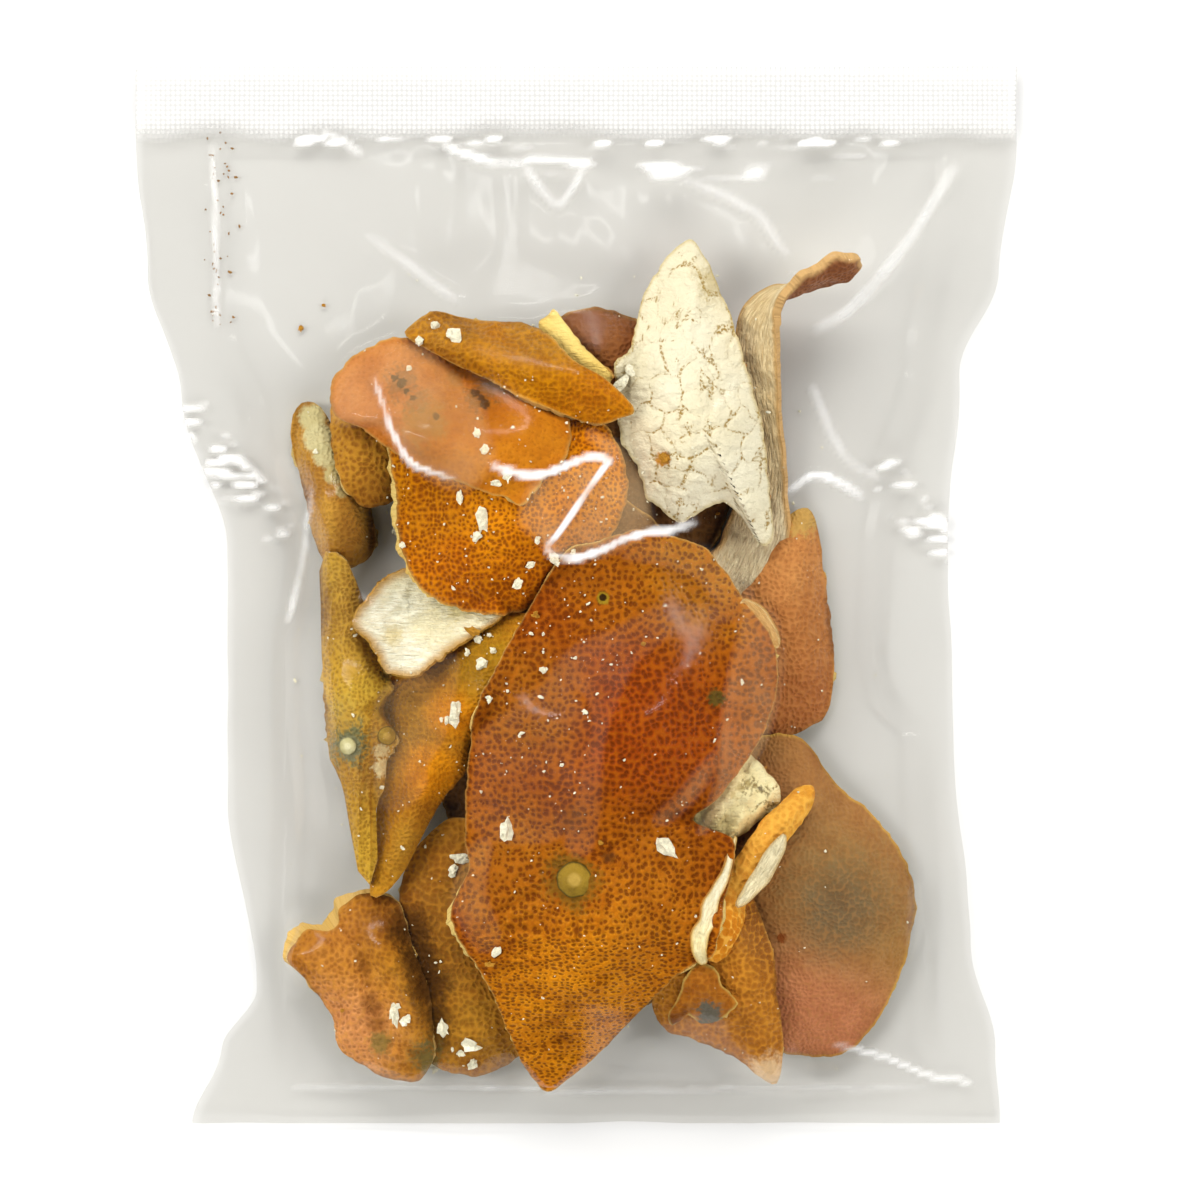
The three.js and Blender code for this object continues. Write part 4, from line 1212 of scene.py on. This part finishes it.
filmLook = {
    "topSeal": 12, "bottomSeal": 6.5, "finLift": 1.3, "cell": 0.77, "gap": 0.12,
    # shares and tints of the film's diffuse layer: the seal's own whitish crimp, painted reflections (warm
    # where they reflect the peel) and painted highlights on folds
    "clear": (0.962, 0.958, 0.944), "roughness": 0.13, "reflectionMilk": 0.16, "sealMilk": 0.34,
    "milkAndSheen": (0.97, 0.96, 0.94), "peelReflectionTint": (1.0, 0.66, 0.34),
    # y and x of each side edge, from the top seal down
    "left": [(91, -76), (79, -76), (56, -74), (34, -68), (8, -60), (-35, -60), (-68, -55), (-78, -61),
             (-91, -66)],
    "right": [(91, 76), (79, 76), (56, 73), (38, 66), (8, 64), (-25, 65), (-60, 68), (-78, 72),
              (-91, 73)],
    # where the inside of the pouch begins, within the flat fins
    "innerLeft": [(91, -64), (79, -63.4), (47, -62.2), (30, -56), (6, -48.4), (-11, -51), (-35, -50.4),
                  (-62, -51), (-76, -50.6), (-91, -49.5)],
    "innerRight": [(91, 66), (74, 65.3), (40, 60), (19.6, 54.2), (6, 52.5), (-10, 51.7), (-18, 53.4),
                   (-25, 59.3), (-52, 60.4), (-76, 60.8), (-91, 66)],
    # painted reflections: places where the film stands off the peel, given a cloudy diffuse layer that
    # stands in for soft reflections of broad light and of the peel: strength and outline
    "paintedReflections": [
        (0.1,
         [(-2.7, -10.9), (-6, -15.6), (-15.8, -23), (-17, -27.5), (-17, -40), (-2.7, -40.8), (0.9, -27),
          (2.7, -22.1), (-1, -15)]),
        (0.15,
         [(28.2, -1.5), (21.1, -1.9), (14.3, -1.9), (6.1, -6), (2, -7.5), (-2.7, -10.9), (-1.2, -14.8),
          (2, -17.3), (2.7, -22.1), (0.9, -27), (0.2, -32.3), (-1.7, -40.8), (-0.2, -43.7), (2.7, -42.5),
          (4.1, -34.9), (4.3, -27), (5.4, -21.8), (7.5, -16.5), (9.5, -12.1), (12.8, -9.2), (18.4, -5.4),
          (28.2, -3.9)]),
        (0.7,
         [(28.6, -1.5), (27.7, -6.8), (26.2, -12.4), (24.5, -23), (23.5, -33), (21, -40), (25, -36),
          (32, -25), (34.6, -15), (34.6, -8), (33.2, -3.5)]),
        (0.5,
         [(23.8, -26.7), (21.1, -28.9), (17.7, -33.2), (13.4, -37.4), (15.6, -37.9), (19.7, -34.2),
          (23.8, -29.4)]),
        (1.0,
         [(-6.3, 19.7), (-8.5, 15.8), (-9.2, 12.2), (-5.6, 9), (-4.3, 6.6), (-0.7, 5.8), (4.1, 6.6),
          (10.9, 9.2), (12.6, 12.8), (10.9, 19.6), (7.3, 25.2), (2.2, 27.2), (4.1, 23.8), (-0.2, 21.6)]),
        (0.8,
         [(-41.2, 36.0), (-38, 40.2), (-32.6, 42.8), (-27.6, 42.2), (-22.1, 38.4), (-16.3, 32.3),
          (-15, 27.2), (-14.1, 22.3), (-18.5, 17.8), (-24.8, 20.1), (-29.9, 24.5), (-33.5, 28.8),
          (-41.1, 29.8)]),
        (0.3,
         [(-20.6, -10.4), (-20.9, -16.8), (-22.8, -24.5), (-25.5, -28.9), (-25.8, -32.3), (-29.2, -35.7),
          (-33.3, -34.9), (-34.2, -21.3), (-32.5, -16.2), (-28.2, -14.5)]),
        (0.35,
         [(-17.6, -42.5), (-14.6, -42), (-15.6, -50), (-13, -58), (-16, -60), (-19.5, -55),
          (-20.5, -50)]),
        (0.25, [(22, 8), (26, 4), (30, 0), (25.5, -2), (20, 3.5), (12, 5.8), (8, 6.4), (12, 9)]),
    ],
    # path, half width, height, and how strongly a painted highlight whitens the film along it
    "creasesAndGlints": [
        ([(-14.5, 22.1), (-12.1, 21.1), (-7.5, 20), (-4.6, 20.4), (-0.9, 22.1), (2.9, 23.3), (6.4, 22.9)],
         0.8, 0.8, 1.2),
        ([(6.4, 22.9), (4.4, 21.1), (0.3, 15.3), (-2.9, 10.4), (-4.9, 8.7)], 0.7, 0.8, 1.2),
        ([(-4.9, 8.7), (-4.3, 7), (-0.9, 6.1), (3.2, 7.1), (7.3, 9), (11.6, 10.4), (16, 10.9),
          (20.2, 12.4)], 0.8, 0.8, 1.2),
        ([(-34.3, 37.1), (-32.6, 32.1), (-30.9, 27.2), (-28, 22.6), (-25.7, 21.1), (-19.9, 19.6)], 0.7,
         0.7, 0.9),
        ([(65.3, 74), (58, 62), (48, 50), (41, 45)], 1.2, 0.9, 0.35),
        ([(-62.6, 78), (-62, 62), (-62, 46)], 0.6, 0.6, 0.35),
        ([(36.4, 17.9), (40, 20.4), (43.5, 20.2), (49.2, 17)], 0.8, 0.8, 0.8),
        ([(-45, 18.7), (-47, 6), (-49.5, -4.5)], 0.7, 0.7, 0.4),
        ([(44, -77), (52, -79), (60, -82.5), (68, -84)], 0.55, 0.5, 0.7),
        ([(-23, 77.4), (-16, 75), (-9, 74)], 0.9, 0.8, 0.6),
        ([(-44, 80), (-40, 78), (-37, 76)], 0.9, 0.8, 0.6),
        ([(-9, 74), (-3, 67), (2, 75)], 0.8, 0.8, 0.4), ([(18, 72), (30, 66), (36, 58)], 0.9, 0.7, 0.25),
        ([(40, 36), (46, 24), (52, 20)], 0.9, 0.7, 0.3), ([(-36, 62), (-20, 50)], 0.9, 0.6, 0.2),
        ([(-49, -84.6), (-20, -85), (10, -85.3), (60, -84.8)], 0.5, 0.2, 0.35),
    ],
    # bunches of short parallel painted highlight streaks, in the fins and along the top seal: path, reach,
    # grain, highlight strength
    "glintHatches": [
        ([(-66, 30), (-60, 21), (-52, 13)], 4.5, 0.95, 1.0),
        ([(53, 21), (58, 14), (64, 9)], 4.0, 0.95, 1.0),
        ([(-8, 74), (10, 73), (30, 73), (52, 74)], 2.2, 1.4, 0.5),
        ([(-58, 78.6), (-20, 78.2), (20, 78), (60, 78.4)], 1.3, 0.9, 0.9),
    ],
}


def edgeAt(rows, y):
    ys, xs = np.array(rows[::-1], float).T
    spot = np.clip(np.searchsorted(ys, y) - 1, 0, len(ys) - 2)
    return xs[spot] + (xs[spot + 1] - xs[spot]) * ease(0, 1, (y - ys[spot]) / (ys[spot + 1] - ys[spot]))


def drapeFilm(obstacle, inside, restHeight):
    # a stretched film over the heap: relaxed on coarse grids first, then on finer ones
    film = None
    for stride in (8, 4, 2, 1):
        bed, free, edge = (field[::stride, ::stride] for field in (obstacle, inside, restHeight))
        if film is None:
            film = bed
        else:
            film = np.repeat(np.repeat(film, 2, 0), 2, 1)[:bed.shape[0], :bed.shape[1]]
        film = np.where(free, film, edge)
        for _ in range(420):
            film = np.where(free, np.maximum(sum(sidesOf(film)) / 4, bed), edge)
    return film


def freedomOf(x, y):
    # how far in from the nearest seal, and below 0 on a seal
    left, right = x - edgeAt(filmLook["innerLeft"], y), edgeAt(filmLook["innerRight"], y) - x
    top, bottom = pouchHigh[1] - filmLook["topSeal"] - y, y - pouchLow[1] - filmLook["bottomSeal"]
    return np.minimum(np.minimum(left, right), np.minimum(top, bottom))


def creaseAndGlintFilm(x, y):
    # how far the crease lines raise the film, and where painted highlights whiten it: along the crease lines
    # and in streaky bunches on the fins and near the top seal
    raised, glintPaint = np.zeros(x.shape), np.zeros(x.shape)
    for path, width, height, glintStrength in filmLook["creasesAndGlints"]:
        path = smoothCurve(path, 6, False)
        d, along = distanceToPath(x + 0.3 * noiseAt(x, y, 4, 3.3), y + 0.3 * noiseAt(x, y, 4, 6.3), path)
        strength = np.sin(math.pi * np.clip(along, 0.001, 0.999)) ** 0.4
        raised = raised + height * np.maximum(0, 1 - d / (2.2 * width)) ** 1.4 * strength
        uneven = 0.75 + 0.5 * noiseAt(x, y, 5, height + 2.2)
        # painted highlight along the crease line
        glintPaint = np.maximum(glintPaint, ease(1.15, 0.35, d / width) * strength * glintStrength * uneven)
    for path, reach, grain, glintStrength in filmLook["glintHatches"]:
        d, _ = distanceToPath(x, y, path)
        streaks = ease(0.12, 0.5, noiseAt(x / 5, y, grain, 12.5))
        # painted highlight streaks
        glintPaint = np.maximum(glintPaint, glintStrength * streaks * ease(1, 0.4, d / reach))
    return raised, glintPaint


def makeFilm():
    look = filmLook
    low, high = pouchLow[1], pouchHigh[1]
    sealFrom = high - look["topSeal"]
    rowsY = np.linspace(low, high, int((high - low) / look["cell"]))
    columns = int((pouchHigh[0] - pouchLow[0]) / look["cell"])
    across = np.linspace(-1, 1, columns)[None, :]
    y = rowsY[:, None] + 0 * across
    x = edgeAt(look["left"], y) * (1 - across) / 2 + edgeAt(look["right"], y) * (1 + across) / 2
    x = x + 0.35 * noiseAt(x, y, 9, 4.4) * np.abs(across) ** 6
    y = np.clip(y + 0.5 * noiseAt(x, y, 16, 8.1) * ease(low + 10, low, y), low, high)
    x = np.clip(x, pouchLow[0], pouchHigh[0])
    freedom = freedomOf(x, y)

    mapX, mapY = np.meshgrid(mapLeft + heapMap["cell"] * np.arange(mapColumns),
                             mapBottom + heapMap["cell"] * np.arange(mapRows))
    inside = freedomOf(mapX, mapY) > 0
    fin = look["finLift"] + 0.7 * noiseAt(mapX, mapY, 23, 5.5)
    crest = soften(np.max([heapTop, *sidesOf(heapTop)], axis=0), 2)
    draped = drapeFilm(np.where(inside, crest + 0.25, 0), inside, fin)

    # a film that has been handled: pleats of many directions, strongest off the heap
    crumple = np.zeros(x.shape)
    for size, depth, seed in ((15, 0.55, 1.5), (22, 0.6, 2.5), (12, 0.4, 3.5), (28, 0.7, 4.5)):
        crumple = crumple + depth * np.abs(noiseAt(x, y, size, seed))
    raised, glintPaint = creaseAndGlintFilm(x, y)
    onHeap = ease(1.5, 7, readMap(soften(crest, 20), x, y))
    underSeal = sealFrom - y
    pull = np.abs(noiseAt(x, y / 5, 4.5, 9.5)) * 0.9 * ease(34, 10, underSeal) * ease(0, 6, underSeal)
    front = readMap(soften(draped, 14), x, y) + 0.3
    front = front + ease(0, 9, freedom) * (raised + crumple * (0.75 - 0.5 * onHeap)) + pull
    front = front + soften(1.6 * np.maximum(0, readMap(crest, x, y) + 0.15 - front), 8)
    back = readMap(fin, x, y) * (1 - ease(0, 1, np.clip(freedom / 5, 0, 1))) - look["gap"]
    back = np.clip(back, 0.05, None)
    front = np.where(freedom <= 0, back + look["gap"], front)
    # painted reflection: a soft-edged cloudy patch inside each listed outline
    paintedReflection = np.zeros(x.shape)
    for strength, outline in look["paintedReflections"]:
        border = 0.3 + 0.9 * (0.5 + 0.5 * noiseAt(x, y, 12, len(outline) + 0.5))
        paintedReflection = np.maximum(paintedReflection, strength * insideOutline(x, y, smoothCurve(outline, 6, True), border))
    topSeal = ease(sealFrom - 1.2, sealFrom + 3.5, y + 1.5 * noiseAt(x, y, 11, 6.7))
    marks = {"topSeal": topSeal, "paintedReflection": paintedReflection, "paintedGlint": glintPaint}
    upper, lower = (np.stack([x, y, z], 2) for z in (front, back))
    return makeShell("pouchFilm", upper, lower, upper[..., :2], marks, clearFilm, clearFilm, sharp=0)


def makeFilmMaterial():
    material, tree, output, position = startMaterial("clearFilm")
    paintedReflection, paintedGlint, topSeal = (markNode(tree, name) for name in ("paintedReflection", "paintedGlint", "topSeal"))
    studs = newNode(tree, "ShaderNodeTexVoronoi", voronoi_dimensions="2D", feature="F1")
    apart = feedAll(tree, studs, Vector=position, Scale=1180, Randomness=0.12)["Distance"]
    studHeight = mathNode(tree, "MULTIPLY", rangeNode(tree, apart, 0.1, 0.6, 1.0, 0.0), topSeal)
    normal = bumpNode(tree, studHeight, 0.5, 0.00025)
    seen = feedAll(tree, newNode(tree, "ShaderNodeBsdfTransparent"), Color=filmLook["clear"])[0]
    gloss = newNode(tree, "ShaderNodeBsdfGlossy")
    mirrored = feedAll(tree, gloss, Roughness=filmLook["roughness"], Normal=normal)[0]
    # a thin sheet mirrors the same from both sides, so the index is turned over on its back faces
    backfacing = newNode(tree, "ShaderNodeNewGeometry").outputs["Backfacing"]
    index = rangeNode(tree, backfacing, 0, 1, 1.55, 1 / 1.55, False)
    fresnel = feedAll(tree, newNode(tree, "ShaderNodeFresnel"), IOR=index, Normal=normal)[0]
    clear = feedAll(tree, newNode(tree, "ShaderNodeMixShader"), fresnel, seen, mirrored)[0]
    # painted reflection and painted highlights: where the film stands off the peel a cloudy diffuse layer,
    # warm over the peel, stands in for soft reflections, and along sharp folds a whiter layer stands in for
    # glints; the top seal is whitish in its own right and uses the same layer
    uneven = rangeNode(tree, noiseNode(tree, position, 160, 1), 0.25, 0.75, 0.7, 1.2)
    reflectionShare = mathNode(tree, "MULTIPLY", mathNode(tree, "MULTIPLY", paintedReflection, uneven), filmLook["reflectionMilk"])
    sealMilk, studMilk = (mathNode(tree, "MULTIPLY", mask, filmLook["sealMilk"])
                          for mask in (topSeal, studHeight))
    glintShare = mathNode(tree, "MINIMUM", paintedGlint, 0.92)
    sealShare = mathNode(tree, "ADD", sealMilk, studMilk)
    milkAndSheenShare = mathNode(tree, "MAXIMUM", reflectionShare, mathNode(tree, "MAXIMUM", glintShare, sealShare))
    # painted highlights keep the layer cool and pale, painted reflections turn it warm
    glintWhite = mathNode(tree, "MULTIPLY", paintedGlint, 2.0)
    reflectionWarmth = mathNode(tree, "SUBTRACT", rangeNode(tree, paintedReflection, 0.0, 0.3), glintWhite, clamp=True)
    milkAndSheen = mixColour(tree, reflectionWarmth, filmLook["milkAndSheen"], filmLook["peelReflectionTint"])
    milkAndSheenLayer = feedAll(tree, newNode(tree, "ShaderNodeBsdfDiffuse"), Color=milkAndSheen)[0]
    feed(tree, feedAll(tree, newNode(tree, "ShaderNodeMixShader"), milkAndSheenShare, clear, milkAndSheenLayer)[0], output)
    return material


clearFilm = makeFilmMaterial()
pouchFilm = makeFilm()
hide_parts("sealed_pouch")
print("film drawn over the heap")


# ---- floor, light and camera

stageLook = {
    "floorSize": 3000, "floor": (0.80, 0.795, 0.78), "world": (0.80, 0.82, 0.84), "worldStrength": 0.04,
    # broad boxes light the pouch, and only the strips are seen in its gloss:
    # name, place, size and power in watts, and whether it is mirrored
    "lights": [
        ("northBox", (-0.10, 1.20, 0.84), (1.8, 0.62), 23, False),
        ("westBox", (-1.20, 0.10, 0.84), (0.62, 1.3), 16.8, False),
        ("eastBox", (1.20, 0.0, 0.84), (0.62, 1.2), 13.8, False),
        ("southBox", (0.0, -1.20, 0.84), (1.4, 0.5), 11, False),
        ("northStrip", (0.05, 1.05, 0.86), (0.6, 0.03), 0.5, True),
        ("westStrip", (-1.05, 0.25, 0.86), (0.03, 0.5), 0.45, True),
        ("northWestStrip", (-0.78, 0.78, 0.88), (0.3, 0.03), 0.25, True),
        ("eastStrip", (0.95, 0.45, 0.90), (0.03, 0.4), 0.35, True),
    ],
}


def makeFloor():
    bm = bmesh.new()
    bmesh.ops.create_grid(bm, x_segments=1, y_segments=1, size=stageLook["floorSize"] / 2 * mm)
    material, tree, output, position = startMaterial("paleFloor")
    darker = tuple(0.97 * c for c in stageLook["floor"])
    colour = mixColour(tree, noiseNode(tree, position, 6, 1), stageLook["floor"], darker)
    addSurface(tree, output, colour, 0.6, 0.2)
    floor = bpy.data.objects.new("floor", meshFrom(bm, "floor", material))
    scene.collection.objects.link(floor)


def addLight(name, place, size, power, mirrored):
    light = bpy.data.lights.new(name, "AREA")
    light.shape = "RECTANGLE"
    light.size, light.size_y = size
    light.energy = power
    lamp = bpy.data.objects.new(name, light)
    lamp.location = place
    lamp.rotation_euler = (Vector((0, 0, 0)) - Vector(place)).to_track_quat("-Z", "Y").to_euler()
    lamp.visible_glossy = mirrored
    scene.collection.objects.link(lamp)


makeFloor()
for light in stageLook["lights"]:
    addLight(*light)

world = bpy.data.worlds.new("studio")
world.use_nodes = True
background = world.node_tree.nodes["Background"]
background.inputs[0].default_value = (*stageLook["world"], 1)
background.inputs[1].default_value = stageLook["worldStrength"]
scene.world = world
scene.view_settings.view_transform = "Standard"
scene.cycles.transparent_max_bounces = 8
scene.cycles.max_bounces = 3
scene.cycles.diffuse_bounces = 2
scene.cycles.glossy_bounces = 1
scene.cycles.caustics_reflective = False
scene.cycles.caustics_refractive = False

cameraLook = {"height": 0.95, "viewWidth": 0.204, "midHeight": 0.014, "aim": (0.0041, -0.00085)}
camera = bpy.data.objects.new("camera", bpy.data.cameras.new("camera"))
camera.data.sensor_width = 36
camera.data.lens = 36 * (cameraLook["height"] - cameraLook["midHeight"]) / cameraLook["viewWidth"]
camera.data.clip_start = 0.01
camera.location = (*cameraLook["aim"], cameraLook["height"])
scene.collection.objects.link(camera)
scene.camera = camera

print("stage set")
